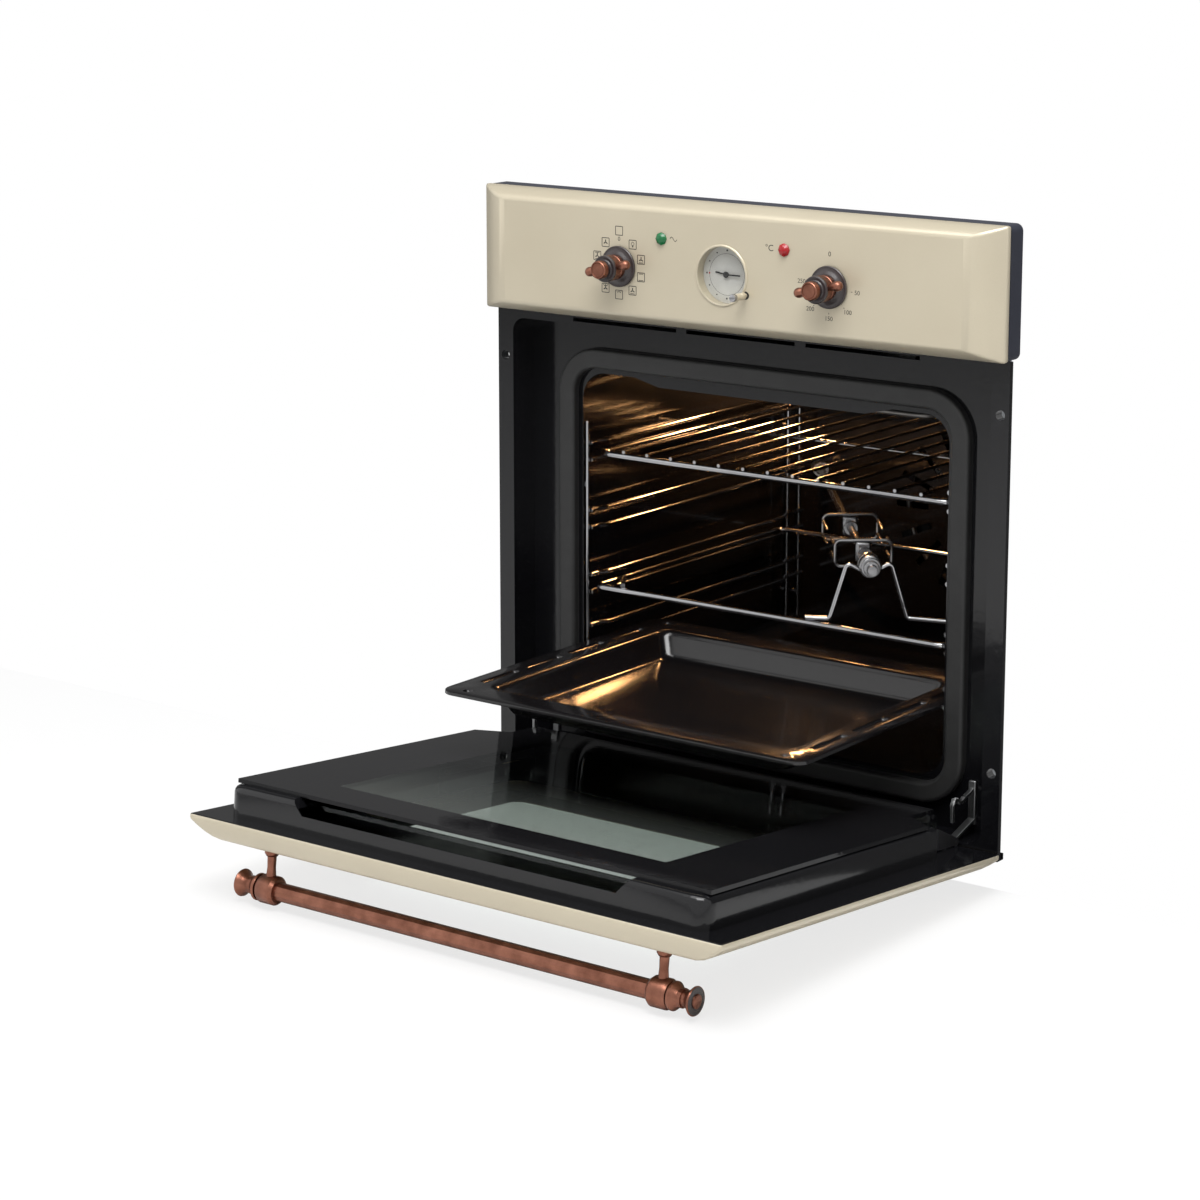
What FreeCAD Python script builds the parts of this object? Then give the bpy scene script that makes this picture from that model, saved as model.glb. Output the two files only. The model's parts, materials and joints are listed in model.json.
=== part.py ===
"""Built-in electric oven with a drop-down door, modelled as separate pieces.

Units are millimetres. X runs to the right, Y into the oven and Z up. The pieces are drawn from the
front of the mounting flange and then moved by the flange's sheet, so that the origin lies on the
back of the flange, half way across, at the level of the shelf under the base plate.
The door stands open and the baking tray is drawn out, as the oven is shown in use.
"""
import FreeCAD, Part
import math
import os

V = FreeCAD.Vector

# Fits and clearances
PRESS_GAP = 0.3
RUN_FIT = 0.06
SLIDE_GAP = 1.0
SHEET = 1.2
FRAME_SHEET = 1.5

# Front: fascia above, door below
FRONT_W = 595.0
DOOR_H = 458.4
DOOR_BOTTOM = 3.8
FASCIA_GAP = 4.0
FASCIA_H = 123.8
RIM_BACK = 9.5
RIM_T = 5.0
PILLOW_T = 16.9
SIDE_BEVEL = 36.4
END_BEVEL = 12.0
FRONT_CORNER = 7.0
SKIN_T = 1.5
FASCIA_BOX_BACK = 10.9

# Mounting flange and the recess that the door closes into
FLANGE_W = 588.0
FLANGE_DROP = 5.0
FLANGE_UNDER_FASCIA = 0.7
FLANGE_RETURN = 5.4
FLANGE_HEM = 6.2
RECESS_W = 550.6
RECESS_BOTTOM = 6.0
RECESS_TOP = 455.4
RECESS_DEPTH = 34.5
RECESS_CORNER = 14.0
SCREW_SPAN_X = 570.0
SCREW_LOW_Z = 79.0
SCREW_HIGH_Z = 416.0
SCREW_HOLE_R = 4.8
VENT_L = 125.0
VENT_PITCH = 137.0
VENT_H = 4.0
VENT_Z = 460.0

# Cavity
MOUTH_W = 426.0
MOUTH_BOTTOM = 53.5
MOUTH_TOP = 402.0
MOUTH_CORNER = 27.0
MOUTH_LIP_DROP = 7.4
MOUTH_LIP_W = 240.0
MOUTH_LIP_SLANT = 30.0
LINER_W = 448.0
LINER_FLOOR = 45.0
LINER_ROOF = 408.0
LINER_BACK = 454.0
GASKET_LAP = 5.5
GASKET_W = 20.0
GASKET_T = 9.5
GASKET_ROUND = 4.0
JACKET_T = 28.0
FAN_Z = 212.0
FAN_POCKET_R = 105.0
FAN_POCKET_D = 42.0

# Casing behind the flange
SIDE_GAP = 0.8
PANEL_T = 1.0
CASING_TOP = 575.0
CASING_BACK = 548.0
CASING_SETBACK = 3.0
CASING_SCREW_R = 3.5
CASING_SCREW_H = 2.0
CASING_SCREW_INSET = 40.0

# Door build
DOOR_OPEN_DEG = 84.5
PIVOT_Y = -5.45
PIVOT_Z = 8.1
SHELL_W = 536.0
SHELL_START = 15.0
SHELL_END = 440.0
SHELL_T = 30.0
GLASS_T = 3.9
GLASS_INSET = 3.0
GLASS_END_MARGIN = 8.0
SHELL_LIP = 14.0
SHELL_CORNER = 16.0
SKIN_LAP = 12.0
HINGE_NOTCH_X = 237.0
HINGE_NOTCH_S = 58.0
HINGE_NOTCH_END_S = 78.0
EDGE_VENT_W = 380.0
EDGE_VENT_N0 = 16.0
EDGE_VENT_SLANT = 14.0
WINDOW_W = 380.0
WINDOW_S0 = 105.0
WINDOW_S1 = 345.0
WINDOW_R = 18.0
OUTER_GLASS_LAP = 22.0
MIDDLE_GLASS_N = 21.0
MIDDLE_GLASS_S0 = 160.0
MIDDLE_GLASS_END_MARGIN = 16.0

# Handle
HANDLE_STAND_OFF = 40.9
HANDLE_S = 427.0
HANDLE_R = 8.7
HANDLE_FACETS = 12
HANDLE_POST_X = 221.0
HANDLE_POST_R = 8.0
HANDLE_POST_FOOT_R = 12.0
HANDLE_POST_FOOT_T = 4.0
FERRULE_R = 13.5
FERRULE_W = 20.0
HANDLE_END_X = 244.0
HANDLE_DISC_R = 13.0
HANDLE_DISC_T = 8.0
HANDLE_TIP_R = 7.0

# Hinges
HINGE_X = 247.0
HINGE_ARM_W = 6.0
HINGE_CHEEK_T = 2.0
HINGE_PIN_R = 2.0
HINGE_EYE_R = 4.0
HINGE_CASE_TOP_S = 150.0
HINGE_CASE_DEEP = 20.0
HINGE_ARM_LOW = 3.0
HINGE_ARM_NOSE = 10.0
HINGE_SLOT_Z0 = 14.0
HINGE_SLOT_Z1 = 58.0
RECEIVER_WALL = 3.0
RECEIVER_DEPTH = 34.0

# Controls on the fascia
CONTROL_Z = 522.5
KNOB_X = 120.0
KNOB_SKIRT_R = 20.0
KNOB_SKIRT_T = 6.0
KNOB_BODY_R = 12.5
KNOB_BODY_T = 18.0
KNOB_LEVER_L = 44.0
KNOB_LEVER_R = 5.0
KNOB_LEVER_TILT_DEG = 13.0
KNOB_LEVER_Y = -50.0
KNOB_BALL_R = 6.5
KNOB_CAP_R = 8.0
KNOB_CAP_T = 11.0
KNOB_SHAFT_R = 3.0
SWITCH_W = 42.0
SWITCH_H = 38.0
SWITCH_D = 30.0
PILOT_X = 70.0
PILOT_Z = 553.0
PILOT_R = 6.0
PILOT_STAND = 2.6
PILOT_BODY_L = 18.0
CLOCK_Z = 523.4
CLOCK_R = 27.5
CLOCK_WALL = 1.0
CLOCK_BEZEL_W = 1.4
CLOCK_BEZEL_T = 1.8
CLOCK_D = 24.0
CLOCK_DIAL_SINK = 9.0
CLOCK_DIAL_T = 1.0
CLOCK_LENS_T = 1.2
HAND_T = 0.6
HAND_GAP = 0.5
HAND_ARBOR_R = 0.8
HAND_SLEEVE_R = 1.8
MINUTE_HAND_L = 17.0
HOUR_HAND_L = 13.5
HAND_BOSS_R = 3.0
HAND_W = 2.4
HAND_TAIL = 5.4
CLOCK_WHEEL_T = 2.0
HOUR_WHEEL_R = 12.0
CENTRE_WHEEL_R = 18.0
HOUR_HAND_TILT_DEG = 7.5
STEM_X = 27.3
STEM_DROP = 16.7
STEM_R = 2.0
STEM_KNOB_R = 3.6
STEM_KNOB_L = 19.0
STEM_TIP_Y = -54.0
STEM_COLLAR_T = 3.0

# Ladders and what slides on them
RAIL_R = 2.5
RAIL_X = 205.0
LADDER_X = 214.0
LADDER_FRONT_Y = 42.0
LADDER_BEND = 22.0
LADDER_REAR_Y = 413.0
LADDER_LAST_Y = 436.0
LADDER_BOTTOM_Z = 70.0
LADDER_TOP_Z = 350.0
LADDER_WELD = 0.5
RAIL_PAIR_GAP = 18.0
SPARE_RAIL_Z = 240.0
PEG_R = 4.0
PEG_LOW_Z = 115.0
PEG_HIGH_Z = 285.0
RACK_Z = 316.0
RACK_HALF = 205.7
RACK_BAR_R = 3.25
RACK_WIRE_R = 1.75
RACK_WIRES = 13
RACK_WIRE_PITCH = 29.0
RACK_FRONT_Y = 51.6
RACK_REAR_Y = 430.0
RACK_CORNER = 14.0
WELD = 0.4

# Rotisserie
SPIT_FRAME_Z = 178.7
SPIT_FRAME_HALF = 206.0
SPIT_FRAME_BAR_R = 3.0
SPIT_FRAME_FRONT_Y = 45.0
SPIT_FRAME_REAR_Y = 385.0
SPIT_FRAME_CORNER = 10.0
BRACE_X = 171.0
BRACE_Y = 95.0
SPIT_ANGLE_DEG = 38.5
SPIT_X = 100.9
SPIT_Y = 78.5
SPIT_Z = 237.0
SPIT_R = 4.0
SPIT_NECK_R = 5.2
SPIT_FLANGE_R = 11.0
SPIT_NECK_L = 7.0
SPIT_FLANGE_T = 6.0
SPIT_FRONT_L = 16.0
V_HALF = 21.5
V_FOOT_HALF = 38.0
V_SLANT_DEG = 62.0
V_WIRE_R = 2.5
V_WIRE_BEND = 4.0
FORK_OFFSET = 45.0
FORK_PITCH = 120.0
FORK_HALF = 28.0
FORK_TINE_L = 55.0
FORK_TINE_R = 2.0
FORK_BRIDGE_R = 3.0
FORK_HUB_R = 9.0
FORK_HUB_L = 14.0
SOCKET_R = 8.0
SOCKET_FRONT = 8.0
SOCKET_L = 32.0
SOCKET_CONE_R = 6.0
SOCKET_CONE_D = 4.0
SPIT_MOTOR_R = 24.0
SPIT_MOTOR_L = 36.0

# Baking tray
TRAY_HALF = 208.0
TRAY_DEPTH = 358.0
TRAY_FRONT_Y = -205.0
TRAY_RAIL_Z = 120.0
TRAY_RIM_W = 35.0
TRAY_DEEP = 28.0
TRAY_SLOPE = 13.0
TRAY_CORNER = 16.0
TRAY_LIP = 4.0
TRAY_SLOT_L = 55.0
TRAY_SLOT_W = 9.0
TRAY_SLOT_PITCH = 70.0
TRAY_SLOT_COUNT = 4
TRAY_DIMPLE_R = 5.0
TRAY_DIMPLE_IN = 26.0
TRAY_DIMPLE_EDGE = 14.0
TRAY_GROOVE = 3.0

# Heaters, lamp and fans
TUBE_R = 3.25
GRILL_Z = 390.0
GRILL_OUTER_X = 165.0
GRILL_INNER_X = 80.0
GRILL_LEG_X = 40.0
GRILL_FRONT_Y = 80.0
GRILL_INNER_Y = 380.0
GRILL_REAR_Y = 425.0
GRILL_BEND = 18.0
ELEMENT_TAIL = 12.0
BRACKET_W = 10.0
BRACKET_T = 1.5
BOTTOM_HALF = 165.0
BOTTOM_FRONT_Y = 90.0
BOTTOM_REAR_Y = 400.0
RING_R = 90.0
RING_Y_BEHIND_WALL = 14.0
RING_LEG_PITCH = 50.0
LAMP_X = -122.0
LAMP_Y = 330.0
LAMP_HOLE_R = 22.0
LAMP_LENS_R = 26.0
LAMP_LENS_DROP = 10.0
LAMP_CUP_WALL = 1.5
BULB_R = 11.0
BULB_BASE_R = 7.5
BULB_L = 24.0
COVER_HALF = 176.0
COVER_HALF_H = 129.0
COVER_CORNER = 90.0
COVER_RISE = 8.0
COVER_SLOTS = 16
COVER_SLOT_R0 = 52.0
COVER_SLOT_R1 = 92.0
COVER_SLOT_W = 7.0
FAN_BLADES = 10
FAN_R = 76.0
FAN_HUB_R = 10.0
FAN_BLADE_D = 18.0
FAN_BLADE_T = 1.2
FAN_DISC_T = 1.2
FAN_WALL_GAP = 8.0
FAN_SHAFT_R = 4.0
FAN_MOTOR_R = 34.0
FAN_MOTOR_L = 40.0
BLOWER_X = 110.0
BLOWER_Y0 = 60.0
BLOWER_Y1 = 150.0
BLOWER_R = 28.0
BLOWER_GAP = 4.0
BLOWER_BLADES = 18
BLOWER_BLADE_W = 8.0
BLOWER_BLADE_T = 1.2
BLOWER_SHAFT_R = 3.0
BLOWER_MOTOR_R = 26.0
BLOWER_MOTOR_L = 38.0
TERMINAL_X = 190.0
TERMINAL_W = 60.0
TERMINAL_H = 32.0
INLET_R = 10.7
REAR_VENT_COUNT = 7
REAR_VENT_PITCH = 19.0
REAR_VENT_W = 8.0
REAR_VENT_H = 38.0
REAR_VENT_X = -57.0
REAR_VENT_RISE = 38.0
TERMINAL_D = 22.0

# Levels and planes that follow from the sizes above
HALF_FRONT = FRONT_W / 2
HALF_FLANGE = FLANGE_W / 2
HALF_RECESS = RECESS_W / 2
HALF_MOUTH = MOUTH_W / 2
HALF_LINER = LINER_W / 2
HALF_SHELL = SHELL_W / 2
DOOR_TOP = DOOR_BOTTOM + DOOR_H
FASCIA_BOTTOM = DOOR_TOP + FASCIA_GAP
FASCIA_TOP = FASCIA_BOTTOM + FASCIA_H
FLANGE_TOP = FASCIA_BOTTOM - FLANGE_UNDER_FASCIA
FACE_Y = -RIM_BACK - RIM_T - PILLOW_T
FACE_INNER_Y = FACE_Y + SKIN_T
LINER_FRONT = RECESS_DEPTH + FRAME_SHEET
PANEL_X = HALF_RECESS + FRAME_SHEET + SIDE_GAP
SEAT_Y = FASCIA_BOX_BACK
CASING_FRONT = SEAT_Y + CASING_SETBACK
POCKET_BACK = LINER_BACK + FAN_POCKET_D
JACKET_TOP = LINER_ROOF + SHEET + JACKET_T
COVER_FRONT = LINER_BACK - COVER_RISE
RING_LEG_DROP = math.sqrt(RING_R ** 2 - (RING_LEG_PITCH / 2) ** 2)
RACK_RAIL_Z = RACK_Z - RACK_BAR_R - RAIL_R - PRESS_GAP
FRAME_RAIL_Z = SPIT_FRAME_Z - SPIT_FRAME_BAR_R - RAIL_R - PRESS_GAP
TRAY_RIM_Z = TRAY_RAIL_Z + RAIL_R + PRESS_GAP
SHELL_BACK_Y = SHELL_T - RIM_BACK
HANDLE_Y = FACE_Y - HANDLE_STAND_OFF
HINGE_CASE_W = HINGE_ARM_W + (SLIDE_GAP + HINGE_CHEEK_T) * 2
HANDLE_Z = DOOR_BOTTOM + HANDLE_S
SPIT_DIR = V(-math.sin(math.radians(SPIT_ANGLE_DEG)), math.cos(math.radians(SPIT_ANGLE_DEG)), 0)
SPIT_SIDE = V(SPIT_DIR.y, -SPIT_DIR.x, 0)
SPIT_NOTCH = V(SPIT_X, SPIT_Y, SPIT_Z)
SPIT_END = (LINER_BACK - SOCKET_FRONT - SPIT_Y) / SPIT_DIR.y
DIAL_Y = FACE_Y + CLOCK_DIAL_SINK
HOUR_Y = DIAL_Y - HAND_GAP - HAND_T
MINUTE_Y = HOUR_Y - HAND_GAP - HAND_T
HOUR_WHEEL_Y = DIAL_Y + CLOCK_DIAL_T + HAND_GAP
CENTRE_WHEEL_Y = HOUR_WHEEL_Y + CLOCK_WHEEL_T + HAND_GAP
CLOCK_BACK_Y = FACE_Y + CLOCK_D
BLOWER_Y = (BLOWER_Y0 + BLOWER_Y1) / 2
BLOWER_Z = JACKET_TOP + SHEET + BLOWER_R + BLOWER_GAP


def box(x0, x1, y0, y1, z0, z1):
    """Block between two corners."""
    return Part.makeBox(x1 - x0, y1 - y0, z1 - z0, V(x0, y0, z0))


def rod(start, end, radius):
    """Round bar from one point to another."""
    run = end - start
    return Part.makeCylinder(radius, run.Length, start, run)


def cone(start, end, radius_start, radius_end):
    """Tapered round bar from one point to another."""
    run = end - start
    return Part.makeCone(radius_start, radius_end, run.Length, start, run)


def fuse(shapes):
    """One solid from overlapping or touching solids."""
    return shapes[0].multiFuse(shapes[1:]).removeSplitter()


def cut(shape, tools):
    """A solid with every tool taken out of it."""
    return shape.cut(Part.makeCompound(tools))


def mirrored(shape):
    """The same piece on the other side of the middle plane."""
    return shape.mirror(V(0, 0, 0), V(1, 0, 0))


def both_sides(shape):
    """A piece and its mirror image."""
    return Part.makeCompound([shape, mirrored(shape)])


def outline(points, normal_to, level, corner):
    """Closed wire through plane points, with every corner rounded to the given radius.

    The plane is named by its normal, and its two coordinates are the other axes in order.
    """
    def place(first, second):
        if normal_to == "x":
            return V(level, first, second)
        if normal_to == "y":
            return V(first, level, second)
        return V(first, second, level)

    corners = [place(*point) for point in points]
    return Part.Wire(rounded_path(corners, corner, True))


def rounded_path(corners, radius, closed):
    """Straight edges through the corners, joined by tangent arcs."""
    count = len(corners)
    turns = []
    for index, corner in enumerate(corners):
        if not closed and index in (0, count - 1):
            turns.append((corner, None, corner))
            continue
        inward = (corners[index - 1] - corner).normalize()
        outward = (corners[(index + 1) % count] - corner).normalize()
        half = inward.getAngle(outward) / 2
        if radius <= 0 or half > math.pi / 2 - 1e-4:
            turns.append((corner, None, corner))
            continue
        reach = radius / math.tan(half)
        bisector = (inward + outward).normalize()
        middle = corner + bisector * (radius / math.sin(half) - radius)
        turns.append((corner + inward * reach, middle, corner + outward * reach))
    edges = []
    for index, (start, middle, end) in enumerate(turns):
        if middle is not None:
            edges.append(Part.Arc(start, middle, end).toShape())
        if closed or index < count - 1:
            following = turns[(index + 1) % count][0]
            if (following - end).Length > 1e-6:
                edges.append(Part.LineSegment(end, following).toShape())
    return edges


def rectangle(half, low, high):
    """Corner points of an upright rectangle centred on the middle plane."""
    return [(-half, low), (half, low), (half, high), (-half, high)]


def slab(points, normal_to, level, thickness, corner=0.0):
    """Flat piece of a rounded outline, pushed along the plane's normal."""
    face = Part.Face(outline(points, normal_to, level, corner))
    push = {"x": V(thickness, 0, 0), "y": V(0, thickness, 0), "z": V(0, 0, thickness)}
    return face.extrude(push[normal_to])


def bent_tube(points, radius, bend):
    """Round bar along straight runs joined by tangent arcs, open at both ends."""
    path = Part.Wire(rounded_path(points, bend, False))
    start = path.OrderedEdges[0]
    tangent = start.tangentAt(start.FirstParameter)
    profile = Part.Wire(Part.makeCircle(radius, points[0], tangent))
    return path.makePipeShell([profile], True, False)


def turned(profile, origin, direction):
    """Round piece made of stacked cylinders and cones along an axis.

    Each entry of the profile holds a length and the radius at its start and end.
    """
    solids = []
    start = origin
    for length, radius_start, radius_end in profile:
        end = start + direction * length
        if abs(radius_start - radius_end) < 1e-6:
            solids.append(rod(start, end, radius_start))
        else:
            solids.append(cone(start, end, radius_start, radius_end))
        start = end
    return fuse(solids) if len(solids) > 1 else solids[0]


# Body: flange, cavity and casing

def mouth_points():
    """Outline of the cavity mouth, with the lowered lip in the middle of its top."""
    lip = MOUTH_TOP - MOUTH_LIP_DROP
    half_lip = MOUTH_LIP_W / 2
    slant = half_lip + MOUTH_LIP_SLANT
    return [(-HALF_MOUTH, MOUTH_BOTTOM), (HALF_MOUTH, MOUTH_BOTTOM), (HALF_MOUTH, MOUTH_TOP),
            (slant, MOUTH_TOP), (half_lip, lip), (-half_lip, lip), (-slant, MOUTH_TOP),
            (-HALF_MOUTH, MOUTH_TOP)]


def mouth_hole(level, thickness):
    """Block that opens the mouth: a rounded opening less the lowered lip."""
    whole = slab(rectangle(HALF_MOUTH, MOUTH_BOTTOM, MOUTH_TOP), "y", level, thickness, MOUTH_CORNER)
    lip = slab(mouth_points(), "y", level, thickness)
    return whole.common(lip)


def front_frame():
    """Enamelled front: flange with returns, recess walls and the back face round the mouth.

    The lower return reaches back as far as the control box and is hemmed up to bear on the cabinet,
    as do the spacer sleeves behind the four screw holes.
    """
    flange_points = rectangle(HALF_FLANGE, -FLANGE_DROP, FLANGE_TOP)
    rim = slab(flange_points, "y", 0, FLANGE_RETURN)
    inner = rectangle(HALF_FLANGE - SHEET, SHEET - FLANGE_DROP, FLANGE_TOP - SHEET)
    rim = rim.cut(slab(inner, "y", FRAME_SHEET, FLANGE_RETURN))
    foot = box(-HALF_FLANGE, HALF_FLANGE, 0, SEAT_Y, -FLANGE_DROP, SHEET - FLANGE_DROP)
    hem = box(-HALF_FLANGE, HALF_FLANGE, SEAT_Y - SHEET, SEAT_Y, -FLANGE_DROP, FLANGE_HEM - FLANGE_DROP)
    wall = rectangle(HALF_RECESS + FRAME_SHEET, RECESS_BOTTOM - FRAME_SHEET, RECESS_TOP + FRAME_SHEET)
    tub = slab(wall, "y", 0, LINER_FRONT, RECESS_CORNER + FRAME_SHEET)
    hollow_points = rectangle(HALF_RECESS, RECESS_BOTTOM, RECESS_TOP)
    hollow = slab(hollow_points, "y", -FRAME_SHEET, RECESS_DEPTH + FRAME_SHEET, RECESS_CORNER)
    solids = [rim, foot, hem, tub]
    tools = [hollow, mouth_hole(0, LINER_FRONT + FRAME_SHEET)]
    for side in (-1, 1):
        slot_half = HINGE_ARM_W / 2 + SLIDE_GAP
        tools.append(box(side * HINGE_X - slot_half, side * HINGE_X + slot_half, 0,
                         LINER_FRONT + FRAME_SHEET, HINGE_SLOT_Z0, HINGE_SLOT_Z1))
        for z in (SCREW_LOW_Z, SCREW_HIGH_Z):
            hole_x = side * SCREW_SPAN_X / 2
            solids.append(rod(V(hole_x, 0, z), V(hole_x, SEAT_Y, z), SCREW_HOLE_R + SHEET))
            tools.append(rod(V(hole_x, -FRAME_SHEET, z), V(hole_x, LINER_FRONT, z), SCREW_HOLE_R))
    for step in (-1, 0, 1):
        middle = step * VENT_PITCH
        tools.append(box(middle - VENT_L / 2, middle + VENT_L / 2, -FRAME_SHEET, FRAME_SHEET * 2,
                         VENT_Z - VENT_H / 2, VENT_Z + VENT_H / 2))
    return cut(fuse(solids), tools)


def spit_line(distance):
    """Point on the spit's axis, measured back from the notch that carries it."""
    return SPIT_NOTCH + SPIT_DIR * distance


def spit_reach(plane_y):
    """Distance along the spit from its notch to a plane across the oven."""
    return (plane_y - SPIT_Y) / SPIT_DIR.y


def cavity_liner():
    """Enamelled cavity with a pressed fan pocket and the holes of what enters it."""
    outer = rectangle(HALF_LINER + SHEET, LINER_FLOOR - SHEET, LINER_ROOF + SHEET)
    inner = rectangle(HALF_LINER, LINER_FLOOR, LINER_ROOF)
    shell = slab(outer, "y", LINER_FRONT, LINER_BACK + SHEET - LINER_FRONT, MOUTH_CORNER)
    centre = V(0, LINER_BACK, FAN_Z)
    pocket_end = V(0, POCKET_BACK + SHEET, FAN_Z)
    shell = fuse([shell, rod(centre, pocket_end, FAN_POCKET_R + SHEET)])
    tools = [slab(inner, "y", LINER_FRONT - SHEET, LINER_BACK + SHEET - LINER_FRONT,
                  MOUTH_CORNER - SHEET)]
    tools.append(rod(V(0, LINER_BACK - SHEET, FAN_Z), V(0, POCKET_BACK, FAN_Z), FAN_POCKET_R))
    tools.append(rod(V(0, POCKET_BACK - SHEET, FAN_Z), V(0, POCKET_BACK + SHEET * 2, FAN_Z),
                     FAN_SHAFT_R + SLIDE_GAP))
    for side in (-1, 1):
        ring_leg = V(side * RING_LEG_PITCH / 2, POCKET_BACK - SHEET, FAN_Z - RING_LEG_DROP)
        tools.append(rod(ring_leg, ring_leg + V(0, SHEET * 3, 0), TUBE_R + PRESS_GAP))
        grill_leg = V(side * GRILL_LEG_X, LINER_BACK - SHEET, GRILL_Z)
        tools.append(rod(grill_leg, grill_leg + V(0, SHEET * 3, 0), TUBE_R + PRESS_GAP))
    lamp = V(LAMP_X, LAMP_Y, LINER_ROOF - SHEET)
    tools.append(rod(lamp, lamp + V(0, 0, SHEET * 3), LAMP_HOLE_R))
    tools.append(rod(spit_line(spit_reach(LINER_BACK) - SOCKET_L),
                     spit_line(spit_reach(LINER_BACK) + SOCKET_L), SOCKET_R + SLIDE_GAP))
    return cut(shell, tools)


def gasket_ring(grow):
    """Outline of the door seal, this far outside its inner edge."""
    reach = GASKET_LAP + grow
    return rectangle(HALF_MOUTH + reach, MOUTH_BOTTOM - reach, MOUTH_TOP + reach)


def door_gasket():
    """Soft seal round the mouth, with a rounded front."""
    front = RECESS_DEPTH - GASKET_T
    ring = slab(gasket_ring(GASKET_W), "y", front, GASKET_T, MOUTH_CORNER + GASKET_W)
    ring = ring.cut(slab(gasket_ring(0), "y", front, GASKET_T, MOUTH_CORNER))
    edges = [edge for edge in ring.Edges if abs(edge.BoundBox.YMax - front) < 1e-3]
    return ring.makeFillet(GASKET_ROUND, edges)


def insulation_jacket():
    """Mineral wool round the cavity, cut clear of the drives and of the lower heater."""
    half = HALF_LINER + SHEET
    low = LINER_FLOOR - SHEET
    high = LINER_ROOF + SHEET
    back = LINER_BACK + SHEET
    wool = box(-half - JACKET_T, half + JACKET_T, LINER_FRONT, back + JACKET_T,
               low - JACKET_T, high + JACKET_T)
    tools = [slab(rectangle(half, low, high), "y", LINER_FRONT, back - LINER_FRONT, MOUTH_CORNER)]
    tools.append(rod(V(0, LINER_BACK, FAN_Z), V(0, back + JACKET_T, FAN_Z),
                     FAN_POCKET_R + SHEET + SLIDE_GAP))
    lamp = V(LAMP_X, LAMP_Y, LINER_ROOF)
    tools.append(rod(lamp, lamp + V(0, 0, JACKET_T * 2), LAMP_LENS_R + SLIDE_GAP))
    motor_hole = SPIT_MOTOR_R + SLIDE_GAP
    tools.append(rod(spit_line(spit_reach(LINER_BACK) - SOCKET_L),
                     spit_line(spit_reach(LINER_BACK) + SOCKET_L * 4), motor_hole))
    tools.append(box(-BOTTOM_HALF - TUBE_R * 2, BOTTOM_HALF + TUBE_R * 2,
                     BOTTOM_FRONT_Y - TUBE_R * 2, back + JACKET_T,
                     low - TUBE_R * 2 - SLIDE_GAP, low))
    for side in (-1, 1):
        tools.append(box(side * GRILL_LEG_X - TUBE_R * 2, side * GRILL_LEG_X + TUBE_R * 2, back,
                         back + JACKET_T, GRILL_Z - TUBE_R * 2, GRILL_Z + TUBE_R * 2))
    receiver_in = HINGE_X - HINGE_ARM_W / 2 - RECEIVER_WALL - SLIDE_GAP
    for x0, x1 in ((-half - JACKET_T, -receiver_in), (receiver_in, half + JACKET_T)):
        tools.append(box(x0, x1, LINER_FRONT, LINER_FRONT + RECEIVER_DEPTH + SLIDE_GAP,
                         low - JACKET_T, HINGE_SLOT_Z1 + RECEIVER_WALL + SLIDE_GAP))
    return cut(wool, tools)


def side_panels():
    """Galvanised side sheets, stepped back where the control box stands in front."""
    points = [(CASING_FRONT, 0), (CASING_BACK, 0), (CASING_BACK, CASING_TOP),
              (FASCIA_BOX_BACK, CASING_TOP), (FASCIA_BOX_BACK, FLANGE_TOP - SHEET),
              (CASING_FRONT, FLANGE_TOP - SHEET)]
    return both_sides(slab(points, "x", PANEL_X, PANEL_T))


def top_cover():
    """Sheet over the control space."""
    return box(-PANEL_X, PANEL_X, FASCIA_BOX_BACK, CASING_BACK, CASING_TOP - PANEL_T, CASING_TOP)


def base_plate():
    """Sheet that the oven stands on, with a front edge folded up behind the flange."""
    floor = box(-PANEL_X, PANEL_X, CASING_FRONT, CASING_BACK, 0, PANEL_T)
    fold_top = RECESS_BOTTOM - FRAME_SHEET
    fold = box(-PANEL_X, PANEL_X, CASING_FRONT, CASING_FRONT + PANEL_T, 0, fold_top)
    return fuse([floor, fold])


def rear_panel():
    """Back sheet with a ventilation field above and the mains inlet hole."""
    sheet = box(-PANEL_X, PANEL_X, CASING_BACK - PANEL_T, CASING_BACK, PANEL_T, CASING_TOP - PANEL_T)
    tools = []
    vent_bottom = JACKET_TOP + REAR_VENT_RISE
    for index in range(REAR_VENT_COUNT):
        middle = REAR_VENT_X + (index - (REAR_VENT_COUNT - 1) / 2) * REAR_VENT_PITCH
        tools.append(box(middle - REAR_VENT_W / 2, middle + REAR_VENT_W / 2, CASING_BACK - PANEL_T * 2,
                         CASING_BACK + PANEL_T, vent_bottom, vent_bottom + REAR_VENT_H))
    inlet = V(TERMINAL_X, CASING_BACK - PANEL_T * 2, terminal_middle_z())
    tools.append(rod(inlet, inlet + V(0, PANEL_T * 4, 0), INLET_R))
    return cut(sheet, tools)


def casing_screws():
    """Domed screws that hold the side sheets and the back sheet."""
    screws = []
    rows = (CASING_SCREW_INSET, CASING_TOP / 2, CASING_TOP - CASING_SCREW_INSET)
    for z in rows:
        for y in (CASING_SCREW_INSET, CASING_BACK - CASING_SCREW_INSET):
            head = V(PANEL_X + PANEL_T, y, z)
            screws.append(cone(head, head + V(CASING_SCREW_H, 0, 0), CASING_SCREW_R,
                               CASING_SCREW_R - SHEET))
        rear = V(PANEL_X - CASING_SCREW_INSET / 2, CASING_BACK, z)
        screws.append(cone(rear, rear + V(0, CASING_SCREW_H, 0), CASING_SCREW_R,
                           CASING_SCREW_R - SHEET))
    return both_sides(Part.makeCompound(screws))


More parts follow.
